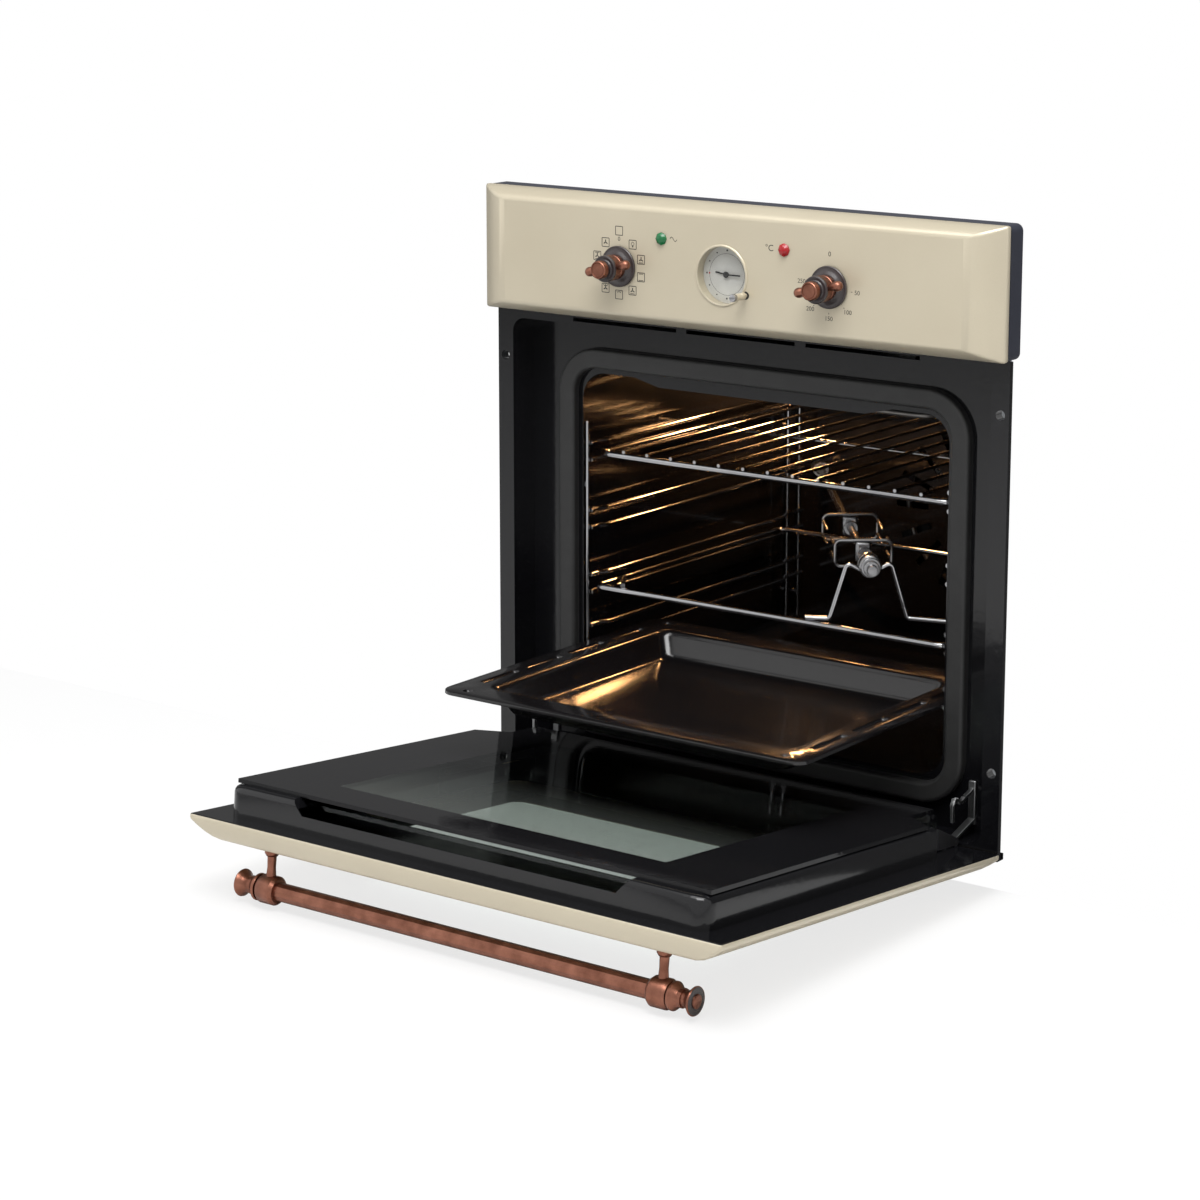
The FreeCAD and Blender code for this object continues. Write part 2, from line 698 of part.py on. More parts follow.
def pillow(low, high, inset, back):
    """Raised panel: a flat rim, slanted borders and a flat face, drawn in by an even inset.

    Its rim starts this far in front of the flange plane.
    """
    half = HALF_FRONT - inset
    bottom = low + inset
    top = high - inset
    rim_front = -RIM_BACK - RIM_T + inset
    rim = slab(rectangle(half, bottom, top), "y", -back, rim_front + back, FRONT_CORNER - inset)
    foot = outline(rectangle(half, bottom, top), "y", rim_front, FRONT_CORNER - inset)
    face = outline(rectangle(half - SIDE_BEVEL, bottom + END_BEVEL, top - END_BEVEL), "y",
                   FACE_Y + inset, FRONT_CORNER - inset)
    return fuse([rim, Part.makeLoft([foot, face], True, True)])


def fascia():
    """Control panel with the holes of the knobs, clock, setting stem and pilot lamps."""
    solid = pillow(FASCIA_BOTTOM, FASCIA_TOP, 0, RIM_BACK)
    tools = [pillow(FASCIA_BOTTOM, FASCIA_TOP, SKIN_T, RIM_BACK)]
    tools.append(face_hole(0, CLOCK_Z, CLOCK_R + CLOCK_WALL + PRESS_GAP))
    tools.append(face_hole(STEM_X, CLOCK_Z - STEM_DROP, STEM_R + RUN_FIT))
    for side in (-1, 1):
        tools.append(face_hole(side * KNOB_X, CONTROL_Z, KNOB_SHAFT_R + SLIDE_GAP))
        tools.append(face_hole(side * PILOT_X, PILOT_Z, PILOT_R + PRESS_GAP))
    return cut(solid, tools)


def face_hole(x, z, radius):
    """Round hole through the fascia's face."""
    return rod(V(x, FACE_Y - SKIN_T, z), V(x, FACE_INNER_Y + SKIN_T, z), radius)


def fascia_box():
    """Sheet box behind the fascia that closes the control space to the front."""
    block = slab(rectangle(HALF_FRONT, FASCIA_BOTTOM, FASCIA_TOP), "y", -RIM_BACK,
                 FASCIA_BOX_BACK + RIM_BACK, FRONT_CORNER)
    inner = rectangle(HALF_FRONT - SHEET, FASCIA_BOTTOM + SHEET, FASCIA_TOP - SHEET)
    return block.cut(slab(inner, "y", -RIM_BACK - SHEET, FASCIA_BOX_BACK + RIM_BACK,
                          FRONT_CORNER - SHEET))


# Controls

def switch_body(side):
    """Rotary switch behind the fascia, with a bore for the knob's shaft."""
    x = side * KNOB_X
    body = box(x - SWITCH_W / 2, x + SWITCH_W / 2, FACE_INNER_Y, FACE_INNER_Y + SWITCH_D,
               CONTROL_Z - SWITCH_H / 2, CONTROL_Z + SWITCH_H / 2)
    bore = rod(V(x, FACE_INNER_Y - SHEET, CONTROL_Z),
               V(x, FACE_INNER_Y + SWITCH_D / 2 + SLIDE_GAP, CONTROL_Z), KNOB_SHAFT_R + RUN_FIT)
    return body.cut(bore)


def knob_skirt(side):
    """Round skirt of a knob with the shaft that enters the switch."""
    x = side * KNOB_X
    seat = V(x, FACE_Y - PRESS_GAP, CONTROL_Z)
    rim_t = KNOB_SKIRT_T / 2
    skirt = rod(seat, seat - V(0, rim_t, 0), KNOB_SKIRT_R)
    crown = cone(seat - V(0, rim_t, 0), seat - V(0, KNOB_SKIRT_T, 0), KNOB_SKIRT_R,
                 KNOB_SKIRT_R - rim_t)
    shaft = rod(seat, V(x, FACE_INNER_Y + SWITCH_D / 2, CONTROL_Z), KNOB_SHAFT_R)
    return fuse([skirt, crown, shaft])


def knob_grip(side):
    """Round knob body with a lever across it that ends in two balls."""
    x = side * KNOB_X
    foot = V(x, FACE_Y - PRESS_GAP - KNOB_SKIRT_T, CONTROL_Z)
    body = rod(foot, foot - V(0, KNOB_BODY_T, 0), KNOB_BODY_R)
    tilt = math.radians(KNOB_LEVER_TILT_DEG)
    reach = V(math.cos(tilt), 0, math.sin(tilt)) * (KNOB_LEVER_L / 2)
    middle = V(x, KNOB_LEVER_Y, CONTROL_Z)
    lever = rod(middle - reach, middle + reach, KNOB_LEVER_R)
    balls = [Part.makeSphere(KNOB_BALL_R, middle + reach), Part.makeSphere(KNOB_BALL_R, middle - reach)]
    return fuse([body, lever] + balls)


def knob_cap(side):
    """Spun cap on the front of a knob, stepped and domed."""
    foot = V(side * KNOB_X, FACE_Y - PRESS_GAP - KNOB_SKIRT_T - KNOB_BODY_T, CONTROL_Z)
    third = KNOB_CAP_T / 3
    profile = [(third, KNOB_CAP_R, KNOB_CAP_R), (third, KNOB_CAP_R - SHEET, KNOB_CAP_R - SHEET),
               (third, KNOB_CAP_R - SHEET, KNOB_CAP_R / 2)]
    return turned(profile, foot, V(0, -1, 0))


def pilot_lamp(side):
    """Round signal lamp with a domed lens and a body behind the fascia."""
    seat = V(side * PILOT_X, FACE_Y, PILOT_Z)
    body = rod(seat, seat + V(0, PILOT_BODY_L, 0), PILOT_R)
    lens = cone(seat, seat - V(0, PILOT_STAND, 0), PILOT_R, PILOT_R - PILOT_STAND)
    collar = rod(V(seat.x, FACE_INNER_Y, seat.z), V(seat.x, FACE_INNER_Y + SHEET, seat.z),
                 PILOT_R + SHEET)
    return fuse([body, lens, collar])


def clock_point(y):
    """Point on the clock's axis."""
    return V(0, y, CLOCK_Z)


def clock_case():
    """Cup of the clock, with a bezel on the fascia's face and a step that carries the lens."""
    bezel_front = FACE_Y - CLOCK_BEZEL_T
    cup = rod(clock_point(FACE_Y), clock_point(CLOCK_BACK_Y), CLOCK_R + CLOCK_WALL)
    bezel = rod(clock_point(bezel_front), clock_point(FACE_Y), CLOCK_R + CLOCK_WALL + CLOCK_BEZEL_W)
    hollow = rod(clock_point(bezel_front - SHEET), clock_point(DIAL_Y), CLOCK_R)
    inner = rod(clock_point(DIAL_Y), clock_point(CLOCK_BACK_Y - CLOCK_WALL), CLOCK_R)
    bore = rod(clock_point(CLOCK_BACK_Y - CLOCK_WALL * 2), clock_point(CLOCK_BACK_Y + SHEET),
               HAND_ARBOR_R + RUN_FIT)
    return cut(fuse([cup, bezel]), [hollow, inner, bore])


def clock_dial():
    """Dial plate in the cup, with the arbor hole."""
    dial = rod(clock_point(DIAL_Y), clock_point(DIAL_Y + CLOCK_DIAL_T), CLOCK_R - PRESS_GAP)
    hole = rod(clock_point(DIAL_Y - SHEET), clock_point(DIAL_Y + CLOCK_DIAL_T + SHEET),
               HAND_SLEEVE_R + RUN_FIT)
    return dial.cut(hole)


def clock_lens():
    """Flat glass over the dial, let into the front of the cup."""
    return rod(clock_point(FACE_Y), clock_point(FACE_Y + CLOCK_LENS_T), CLOCK_R - PRESS_GAP)


def hand(level, length, direction):
    """Tapered clock hand lying in a plane in front of the dial."""
    across = V(-direction.z, 0, direction.x) * (HAND_W / 2)
    centre = clock_point(level)
    tail = centre - direction * HAND_TAIL
    corners = [tail + across, centre + direction * length, tail - across]
    wire = Part.makePolygon(corners + corners[:1])
    return Part.Face(wire).extrude(V(0, HAND_T, 0))


def minute_hand():
    """Minute hand on its arbor, which carries the centre wheel in the cup."""
    blade = hand(MINUTE_Y, MINUTE_HAND_L, V(1, 0, 0))
    boss = rod(clock_point(MINUTE_Y), clock_point(MINUTE_Y + HAND_T), HAND_BOSS_R)
    arbor = rod(clock_point(MINUTE_Y), clock_point(CLOCK_BACK_Y), HAND_ARBOR_R)
    wheel = rod(clock_point(CENTRE_WHEEL_Y), clock_point(CENTRE_WHEEL_Y + CLOCK_WHEEL_T), CENTRE_WHEEL_R)
    return fuse([blade, boss, arbor, wheel])


def hour_hand():
    """Hour hand on a sleeve that turns round the minute arbor, with the hour wheel behind the dial."""
    turn = math.radians(HOUR_HAND_TILT_DEG)
    blade = hand(HOUR_Y, HOUR_HAND_L, V(-math.cos(turn), 0, math.sin(turn)))
    sleeve = rod(clock_point(HOUR_Y), clock_point(HOUR_WHEEL_Y + CLOCK_WHEEL_T), HAND_SLEEVE_R)
    wheel = rod(clock_point(HOUR_WHEEL_Y), clock_point(HOUR_WHEEL_Y + CLOCK_WHEEL_T), HOUR_WHEEL_R)
    bore = rod(clock_point(HOUR_Y - SHEET), clock_point(CLOCK_BACK_Y), HAND_ARBOR_R + RUN_FIT)
    return fuse([blade, sleeve, wheel]).cut(bore)


def setting_stem():
    """Stem that sets the clock: a long knob, a shaft through the fascia and a collar behind."""
    z = CLOCK_Z - STEM_DROP
    tip = V(STEM_X, STEM_TIP_Y, z)
    knob = rod(tip, tip + V(0, STEM_KNOB_L, 0), STEM_KNOB_R)
    collar_y = FACE_INNER_Y + PRESS_GAP
    shaft = rod(tip, V(STEM_X, collar_y + STEM_COLLAR_T, z), STEM_R)
    collar = rod(V(STEM_X, collar_y, z), V(STEM_X, collar_y + STEM_COLLAR_T, z), STEM_R + SHEET)
    return fuse([knob, shaft, collar])


# Inside the cavity

def ladder_rail(z):
    """One rail of a ladder, drawn in between its uprights."""
    at_upright = LADDER_X - RAIL_R * 2 + LADDER_WELD
    points = [V(at_upright, LADDER_FRONT_Y, z), V(at_upright, LADDER_FRONT_Y + LADDER_BEND / 2, z),
              V(RAIL_X, LADDER_FRONT_Y + LADDER_BEND, z), V(RAIL_X, LADDER_REAR_Y - LADDER_BEND, z),
              V(at_upright, LADDER_REAR_Y - LADDER_BEND / 2, z), V(at_upright, LADDER_LAST_Y, z)]
    return bent_tube(points, RAIL_R, RAIL_R * 2)


def rack_ladders():
    """Wire side racks on pegs, with four pairs of rails on each side."""
    pieces = []
    for y in (LADDER_FRONT_Y, LADDER_REAR_Y, LADDER_LAST_Y):
        pieces.append(rod(V(LADDER_X, y, LADDER_BOTTOM_Z), V(LADDER_X, y, LADDER_TOP_Z), RAIL_R))
    for low in (TRAY_RAIL_Z, FRAME_RAIL_Z, SPARE_RAIL_Z, RACK_RAIL_Z):
        pieces.append(ladder_rail(low))
        pieces.append(ladder_rail(low + RAIL_PAIR_GAP))
    for y in (LADDER_FRONT_Y, LADDER_LAST_Y):
        for z in (PEG_LOW_Z - RAIL_PAIR_GAP, PEG_HIGH_Z):
            pieces.append(rod(V(LADDER_X, y, z), V(HALF_LINER, y, z), PEG_R))
    return both_sides(fuse(pieces))


def wire_rack():
    """Chromed shelf: a bent frame, a middle bar and the wires welded on top."""
    frame_points = [V(0, RACK_FRONT_Y, RACK_Z), V(RACK_HALF, RACK_FRONT_Y, RACK_Z),
                    V(RACK_HALF, RACK_REAR_Y, RACK_Z), V(-RACK_HALF, RACK_REAR_Y, RACK_Z),
                    V(-RACK_HALF, RACK_FRONT_Y, RACK_Z), V(0, RACK_FRONT_Y, RACK_Z)]
    pieces = closed_bar(frame_points, RACK_BAR_R, RACK_CORNER)
    middle_y = (RACK_FRONT_Y + RACK_REAR_Y) / 2
    pieces.append(rod(V(-RACK_HALF, middle_y, RACK_Z), V(RACK_HALF, middle_y, RACK_Z), RACK_WIRE_R))
    wire_z = RACK_Z + RACK_BAR_R + RACK_WIRE_R - WELD
    for index in range(RACK_WIRES):
        x = (index - (RACK_WIRES - 1) / 2) * RACK_WIRE_PITCH
        pieces.append(rod(V(x, RACK_FRONT_Y - RACK_WIRE_R, wire_z),
                          V(x, RACK_REAR_Y + RACK_WIRE_R, wire_z), RACK_WIRE_R))
    return fuse(pieces)


def closed_bar(points, radius, bend):
    """Bent frame as two half bars that meet face to face."""
    half = len(points) // 2
    rear_middle = (points[half - 1] + points[half]) * 0.5
    first = bent_tube(points[:half] + [rear_middle], radius, bend)
    second = bent_tube([rear_middle] + points[half:], radius, bend)
    return [first, second]


def rotisserie_frame():
    """Wire frame that carries the spit, with a corner brace and a notched support."""
    z = SPIT_FRAME_Z
    half = SPIT_FRAME_HALF
    points = [V(0, SPIT_FRAME_FRONT_Y, z), V(half, SPIT_FRAME_FRONT_Y, z),
              V(half, SPIT_FRAME_REAR_Y, z), V(-half, SPIT_FRAME_REAR_Y, z),
              V(-half, SPIT_FRAME_FRONT_Y, z), V(0, SPIT_FRAME_FRONT_Y, z)]
    pieces = closed_bar(points, SPIT_FRAME_BAR_R, SPIT_FRAME_CORNER)
    brace_z = z + SPIT_FRAME_BAR_R + V_WIRE_R - WELD
    pieces.append(rod(V(-half, BRACE_Y, brace_z), V(-BRACE_X, SPIT_FRAME_FRONT_Y, brace_z), V_WIRE_R))
    side = SPIT_SIDE
    slant = math.radians(V_SLANT_DEG)
    notch_z = SPIT_Z - (SPIT_NECK_R + V_WIRE_R + PRESS_GAP) / math.sin(slant)
    top_z = notch_z + V_HALF / math.tan(slant)
    notch = V(SPIT_X, SPIT_Y, notch_z)
    left_top = V(SPIT_X, SPIT_Y, top_z) - side * V_HALF
    right_top = V(SPIT_X, SPIT_Y, top_z) + side * V_HALF
    left_foot = V(SPIT_X, SPIT_Y, brace_z) - side * V_FOOT_HALF
    right_foot = V(SPIT_X, SPIT_Y, brace_z) + side * V_FOOT_HALF
    front_end = V(left_foot.x - V_HALF, SPIT_FRAME_FRONT_Y, brace_z)
    side_end = V(half, right_foot.y + V_HALF, brace_z)
    wire = [front_end, left_foot, left_top, notch, right_top, right_foot, side_end]
    pieces.append(bent_tube(wire, V_WIRE_R, V_WIRE_BEND))
    return fuse(pieces)


def spit():
    """Spit rod with a grooved bush in the notch and a pointed end in the drive socket."""
    neck = SPIT_NECK_L
    start = spit_line(-neck / 2 - SPIT_FLANGE_T - SPIT_FRONT_L)
    rod_l = SPIT_END - neck / 2 - SPIT_FLANGE_T - SOCKET_CONE_D - PRESS_GAP
    profile = [(SPIT_FRONT_L / 2, SPIT_R, SPIT_NECK_R), (SPIT_FRONT_L / 2, SPIT_NECK_R, SPIT_NECK_R),
               (SPIT_FLANGE_T, SPIT_FLANGE_R, SPIT_FLANGE_R), (neck, SPIT_NECK_R, SPIT_NECK_R),
               (SPIT_FLANGE_T, SPIT_FLANGE_R, SPIT_FLANGE_R), (rod_l, SPIT_R, SPIT_R),
               (SOCKET_CONE_D * 2, SPIT_R, SPIT_R / 4)]
    return turned(profile, start, SPIT_DIR)


def spit_forks():
    """Two forks on the spit, each a hub with a bridge and a pair of tines."""
    forks = []
    for offset, facing in ((FORK_OFFSET, 1), (FORK_OFFSET + FORK_PITCH, -1)):
        hub_start = spit_line(offset)
        hub = rod(hub_start, spit_line(offset + FORK_HUB_L), FORK_HUB_R)
        middle = spit_line(offset + FORK_HUB_L / 2)
        bridge = rod(middle - SPIT_SIDE * FORK_HALF, middle + SPIT_SIDE * FORK_HALF, FORK_BRIDGE_R)
        pieces = [hub, bridge]
        for tine in (-1, 1):
            root = middle + SPIT_SIDE * (tine * (FORK_HALF - FORK_TINE_R - WELD))
            pieces.append(rod(root, root + SPIT_DIR * (facing * FORK_TINE_L), FORK_TINE_R))
        bore = rod(spit_line(0), spit_line(SPIT_END), SPIT_R + RUN_FIT)
        forks.append(fuse(pieces).cut(bore))
    return Part.makeCompound(forks)


def spit_socket():
    """Turning drive socket with a conical mouth, on the gear motor's shaft."""
    start = spit_line(SPIT_END)
    end = spit_line(SPIT_END + SOCKET_L)
    body = rod(start, end, SOCKET_R)
    mouth = cone(start, spit_line(SPIT_END + SOCKET_CONE_D), SOCKET_CONE_R, SHEET)
    shaft = rod(end, spit_line(SPIT_END + SOCKET_L + SPIT_MOTOR_L / 2), SPIT_R)
    return fuse([body, shaft]).cut(mouth)


def rotisserie_motor():
    """Gear motor behind the rear left corner of the cavity."""
    start = spit_line(SPIT_END + SOCKET_L + PRESS_GAP)
    end = spit_line(SPIT_END + SOCKET_L + PRESS_GAP + SPIT_MOTOR_L)
    bore_end = spit_line(SPIT_END + SOCKET_L + SPIT_MOTOR_L / 2 + SLIDE_GAP)
    body = rod(start, end, SPIT_MOTOR_R)
    foot_y = CASING_BACK - PANEL_T
    foot = box(end.x - SPIT_NECK_L, end.x + SPIT_NECK_L, end.y, foot_y, SPIT_Z - SPIT_NECK_L,
               SPIT_Z + SPIT_NECK_L)
    whole = fuse([body, foot])
    return whole.cut(rod(start - SPIT_DIR, bore_end, SPIT_R + RUN_FIT))


def plan(half, front, rear):
    """Corner points of a level rectangle centred on the middle plane."""
    return [(-half, front), (half, front), (half, rear), (-half, rear)]


def tray_well(grow, low, high):
    """Tapered block of the tray's well between two levels, grown evenly outward."""
    front = TRAY_FRONT_Y + TRAY_RIM_W
    rear = TRAY_FRONT_Y + TRAY_DEPTH - TRAY_RIM_W
    top_half = TRAY_HALF - TRAY_RIM_W + grow
    top = outline(plan(top_half, front - grow, rear + grow), "z", high, TRAY_CORNER)
    foot_half = top_half - TRAY_SLOPE
    foot_points = plan(foot_half, front - grow + TRAY_SLOPE, rear + grow - TRAY_SLOPE)
    foot = outline(foot_points, "z", low, TRAY_CORNER)
    return Part.makeLoft([foot, top], True, True)


def tray_groove(side, y, length, grow, low):
    """Round-ended block of a groove in the tray's side rim, from a level up to the rim's top."""
    middle_x = side * (TRAY_HALF - TRAY_RIM_W / 2)
    half_w = TRAY_SLOT_W / 2 + grow
    half_l = length / 2 + grow
    points = [(middle_x - half_w, y - half_l), (middle_x + half_w, y - half_l),
              (middle_x + half_w, y + half_l), (middle_x - half_w, y + half_l)]
    return slab(points, "z", low, TRAY_RIM_Z + SHEET - low, half_w - RUN_FIT)


def baking_tray():
    """Enamelled tray: a rim with pressed grooves, a tapered well and a front edge folded down."""
    rear = TRAY_FRONT_Y + TRAY_DEPTH
    floor = TRAY_RIM_Z - TRAY_DEEP
    rim_top = TRAY_RIM_Z + SHEET
    groove_low = TRAY_RIM_Z - TRAY_GROOVE
    rim = slab(plan(TRAY_HALF, TRAY_FRONT_Y, rear), "z", TRAY_RIM_Z, SHEET, TRAY_CORNER)
    lip = box(-TRAY_HALF + TRAY_CORNER, TRAY_HALF - TRAY_CORNER, TRAY_FRONT_Y, TRAY_FRONT_Y + SHEET,
              rim_top - TRAY_LIP, rim_top)
    solids = [rim, lip, tray_well(SHEET, floor, rim_top)]
    tools = [tray_well(0, floor + SHEET, rim_top + SHEET)]
    for side in (-1, 1):
        for index in range(TRAY_SLOT_COUNT):
            y = TRAY_FRONT_Y + TRAY_DEPTH / 2 + (index - (TRAY_SLOT_COUNT - 1) / 2) * TRAY_SLOT_PITCH
            solids.append(tray_groove(side, y, TRAY_SLOT_L, SHEET, groove_low))
            tools.append(tray_groove(side, y, TRAY_SLOT_L, 0, groove_low + SHEET))
        for y in (TRAY_FRONT_Y + TRAY_DIMPLE_EDGE, rear - TRAY_DIMPLE_EDGE):
            spot = V(side * (TRAY_HALF - TRAY_DIMPLE_IN), y, groove_low)
            solids.append(rod(spot, spot + V(0, 0, TRAY_GROOVE + SHEET), TRAY_DIMPLE_R + SHEET))
            tools.append(rod(spot + V(0, 0, SHEET), spot + V(0, 0, TRAY_GROOVE + SHEET * 2), TRAY_DIMPLE_R))
    return cut(fuse(solids), tools)


# Heaters, lamp and fans

def grill_element():
    """Tube heater under the roof on three straps, with its ends through the back wall."""
    z = GRILL_Z
    end_y = LINER_BACK + SHEET + ELEMENT_TAIL
    right = [V(0, GRILL_INNER_Y, z), V(GRILL_INNER_X, GRILL_INNER_Y, z),
             V(GRILL_INNER_X, GRILL_FRONT_Y, z), V(GRILL_OUTER_X, GRILL_FRONT_Y, z),
             V(GRILL_OUTER_X, GRILL_REAR_Y, z), V(GRILL_LEG_X, GRILL_REAR_Y, z),
             V(GRILL_LEG_X, end_y, z)]
    half = bent_tube(right, TUBE_R, GRILL_BEND)
    pieces = [half, mirrored(half)]
    middle_y = (GRILL_FRONT_Y + GRILL_INNER_Y) / 2
    spots = [(GRILL_OUTER_X, middle_y), (-GRILL_OUTER_X, middle_y), (0, GRILL_INNER_Y)]
    for x, y in spots:
        pieces.append(box(x - BRACKET_T / 2, x + BRACKET_T / 2, y - BRACKET_W / 2, y + BRACKET_W / 2,
                          z, LINER_ROOF))
    return fuse(pieces)


def bottom_element():
    """Tube heater under the cavity floor, with its ends to the rear."""
    z = LINER_FLOOR - SHEET - TUBE_R - PRESS_GAP
    end_y = LINER_BACK + SHEET + ELEMENT_TAIL
    right = [V(0, BOTTOM_FRONT_Y, z), V(BOTTOM_HALF, BOTTOM_FRONT_Y, z),
             V(BOTTOM_HALF, BOTTOM_REAR_Y, z), V(GRILL_LEG_X, BOTTOM_REAR_Y, z),
             V(GRILL_LEG_X, end_y, z)]
    half = bent_tube(right, TUBE_R, GRILL_BEND)
    return fuse([half, mirrored(half)])


def ring_element():
    """Ring heater round the convection fan, with two legs through the pocket's back."""
    y = LINER_BACK + RING_Y_BEHIND_WALL
    centre = V(0, y, FAN_Z)
    leg_x = RING_LEG_PITCH / 2
    ring = Part.makeTorus(RING_R, TUBE_R, centre, V(0, 1, 0))
    legs = []
    for side in (-1, 1):
        root = centre + V(side * leg_x, 0, -RING_LEG_DROP)
        legs.append(rod(root, V(root.x, POCKET_BACK + SHEET + ELEMENT_TAIL, root.z), TUBE_R - WELD))
    gap = leg_x - TUBE_R
    opening = box(-gap, gap, y - TUBE_R * 2, y + TUBE_R * 2, FAN_Z - RING_R - TUBE_R * 2, FAN_Z)
    return fuse([ring.cut(opening)] + legs)


def lamp_point(z):
    """Point on the oven lamp's axis."""
    return V(LAMP_X, LAMP_Y, z)


def lamp_holder():
    """Metal cup above the roof, with a flange on the roof and a socket for the bulb."""
    low = LINER_ROOF + SHEET
    cup = rod(lamp_point(low), lamp_point(JACKET_TOP), LAMP_HOLE_R)
    flange = rod(lamp_point(low), lamp_point(low + SHEET), LAMP_LENS_R)
    hollow = rod(lamp_point(low - SHEET), lamp_point(JACKET_TOP - LAMP_CUP_WALL * 2),
                 LAMP_HOLE_R - LAMP_CUP_WALL)
    return fuse([cup, flange]).cut(hollow)


def lamp_bulb():
    """Oven bulb hanging from the cup."""
    top = JACKET_TOP - LAMP_CUP_WALL * 2
    base = rod(lamp_point(top), lamp_point(top - BULB_R), BULB_BASE_R)
    globe = Part.makeSphere(BULB_R, lamp_point(top - BULB_L + BULB_R))
    return fuse([base, globe])


def lamp_lens():
    """Domed glass under the roof, with a neck in the lamp's hole."""
    flange = rod(lamp_point(LINER_ROOF), lamp_point(LINER_ROOF - SHEET * 2), LAMP_LENS_R)
    dome = cone(lamp_point(LINER_ROOF - SHEET * 2), lamp_point(LINER_ROOF - LAMP_LENS_DROP),
                LAMP_HOLE_R, LAMP_HOLE_R - LAMP_LENS_DROP / 2)
    neck = rod(lamp_point(LINER_ROOF), lamp_point(LINER_ROOF + SHEET), LAMP_HOLE_R - PRESS_GAP)
    hollow = rod(lamp_point(LINER_ROOF - SHEET * 2), lamp_point(LINER_ROOF + SHEET * 2),
                 LAMP_HOLE_R - SHEET * 3)
    return fuse([flange, dome, neck]).cut(hollow)


def fan_cover():
    """Raised plate over the fan pocket, with radial slots and a ring of round holes."""
    low = FAN_Z - COVER_HALF_H
    high = FAN_Z + COVER_HALF_H
    plate = slab(rectangle(COVER_HALF, low, high), "y", COVER_FRONT, COVER_RISE, COVER_CORNER)
    inner = rectangle(COVER_HALF - SHEET, low + SHEET, high - SHEET)
    tools = [slab(inner, "y", COVER_FRONT + SHEET, COVER_RISE, COVER_CORNER - SHEET)]
    through = COVER_FRONT - SHEET
    slot = box(COVER_SLOT_R0, COVER_SLOT_R1, through, through + SHEET * 3,
               FAN_Z - COVER_SLOT_W / 2, FAN_Z + COVER_SLOT_W / 2)
    hole = rod(V(COVER_SLOT_R0 / 2, through, FAN_Z),
               V(COVER_SLOT_R0 / 2, through + SHEET * 3, FAN_Z), COVER_SLOT_W / 2)
    for index in range(COVER_SLOTS):
        turn = 360.0 * index / COVER_SLOTS
        tools.append(slot.rotated(V(0, 0, FAN_Z), V(0, 1, 0), turn))
        if index % 2:
            tools.append(hole.rotated(V(0, 0, FAN_Z), V(0, 1, 0), turn))
    return cut(plate, tools)


def fan_point(y):
    """Point on the convection fan's axis."""
    return V(0, y, FAN_Z)


def convection_fan():
    """Impeller with flat blades on a disc, and the shaft that runs in the motor."""
    disc_y = POCKET_BACK - FAN_WALL_GAP
    disc = rod(fan_point(disc_y - FAN_DISC_T), fan_point(disc_y), FAN_R)
    hub = rod(fan_point(disc_y - FAN_BLADE_D), fan_point(disc_y), FAN_HUB_R)
    motor_y = POCKET_BACK + SHEET
    shaft = rod(fan_point(disc_y), fan_point(motor_y + FAN_MOTOR_L / 2), FAN_SHAFT_R)
    blade = box(FAN_R / 2, FAN_R, disc_y - FAN_BLADE_D, disc_y - FAN_DISC_T / 2,
                FAN_Z - FAN_BLADE_T / 2, FAN_Z + FAN_BLADE_T / 2)
    blades = [blade.rotated(V(0, 0, FAN_Z), V(0, 1, 0), 360.0 * index / FAN_BLADES)
              for index in range(FAN_BLADES)]
    return fuse([disc, hub, shaft] + blades)


def fan_motor():
    """Motor bolted to the back of the fan pocket."""
    start = POCKET_BACK + SHEET
    body = rod(fan_point(start), fan_point(start + FAN_MOTOR_L), FAN_MOTOR_R)
    bore = rod(fan_point(start - SHEET), fan_point(start + FAN_MOTOR_L / 2 + SLIDE_GAP),
               FAN_SHAFT_R + RUN_FIT)
    return body.cut(bore)


def blower_point(x):
    """Point on the cooling blower's axis."""
    return V(x, BLOWER_Y, BLOWER_Z)


def cooling_fan_housing():
    """Trough of the cooling blower on top of the cavity, open to the front and at the top."""
    top = BLOWER_Z + BLOWER_R
    trough = box(-BLOWER_X, BLOWER_X, BLOWER_Y0, BLOWER_Y1, JACKET_TOP, top)
    inner = box(-BLOWER_X + SHEET, BLOWER_X - SHEET, BLOWER_Y0 - SHEET, BLOWER_Y1 - SHEET,
                JACKET_TOP + SHEET, top + SHEET)
    ends = rod(blower_point(-BLOWER_X - SHEET), blower_point(BLOWER_X + SHEET), BLOWER_SHAFT_R + RUN_FIT)
    return cut(trough, [inner, ends])


def cooling_fan_rotor():
    """Drum of blades between two discs on a shaft."""
    start = -BLOWER_X + SHEET + SLIDE_GAP
    end = BLOWER_X - SHEET - SLIDE_GAP
    shaft = rod(blower_point(-BLOWER_X), blower_point(BLOWER_X + BLOWER_MOTOR_L / 2), BLOWER_SHAFT_R)
    discs = [rod(blower_point(start), blower_point(start + SHEET), BLOWER_R),
             rod(blower_point(end - SHEET), blower_point(end), BLOWER_R)]
    blade = box(start, end, BLOWER_Y + BLOWER_R - BLOWER_BLADE_W, BLOWER_Y + BLOWER_R - SHEET,
                BLOWER_Z - BLOWER_BLADE_T / 2, BLOWER_Z + BLOWER_BLADE_T / 2)
    blades = [blade.rotated(blower_point(0), V(1, 0, 0), 360.0 * index / BLOWER_BLADES)
              for index in range(BLOWER_BLADES)]
    return fuse([shaft] + discs + blades)


def cooling_fan_motor():
    """Motor on the end of the blower's trough."""
    body = rod(blower_point(BLOWER_X), blower_point(BLOWER_X + BLOWER_MOTOR_L), BLOWER_MOTOR_R)
    bore = rod(blower_point(BLOWER_X - SHEET), blower_point(BLOWER_X + BLOWER_MOTOR_L / 2 + SLIDE_GAP),
               BLOWER_SHAFT_R + RUN_FIT)
    return body.cut(bore)


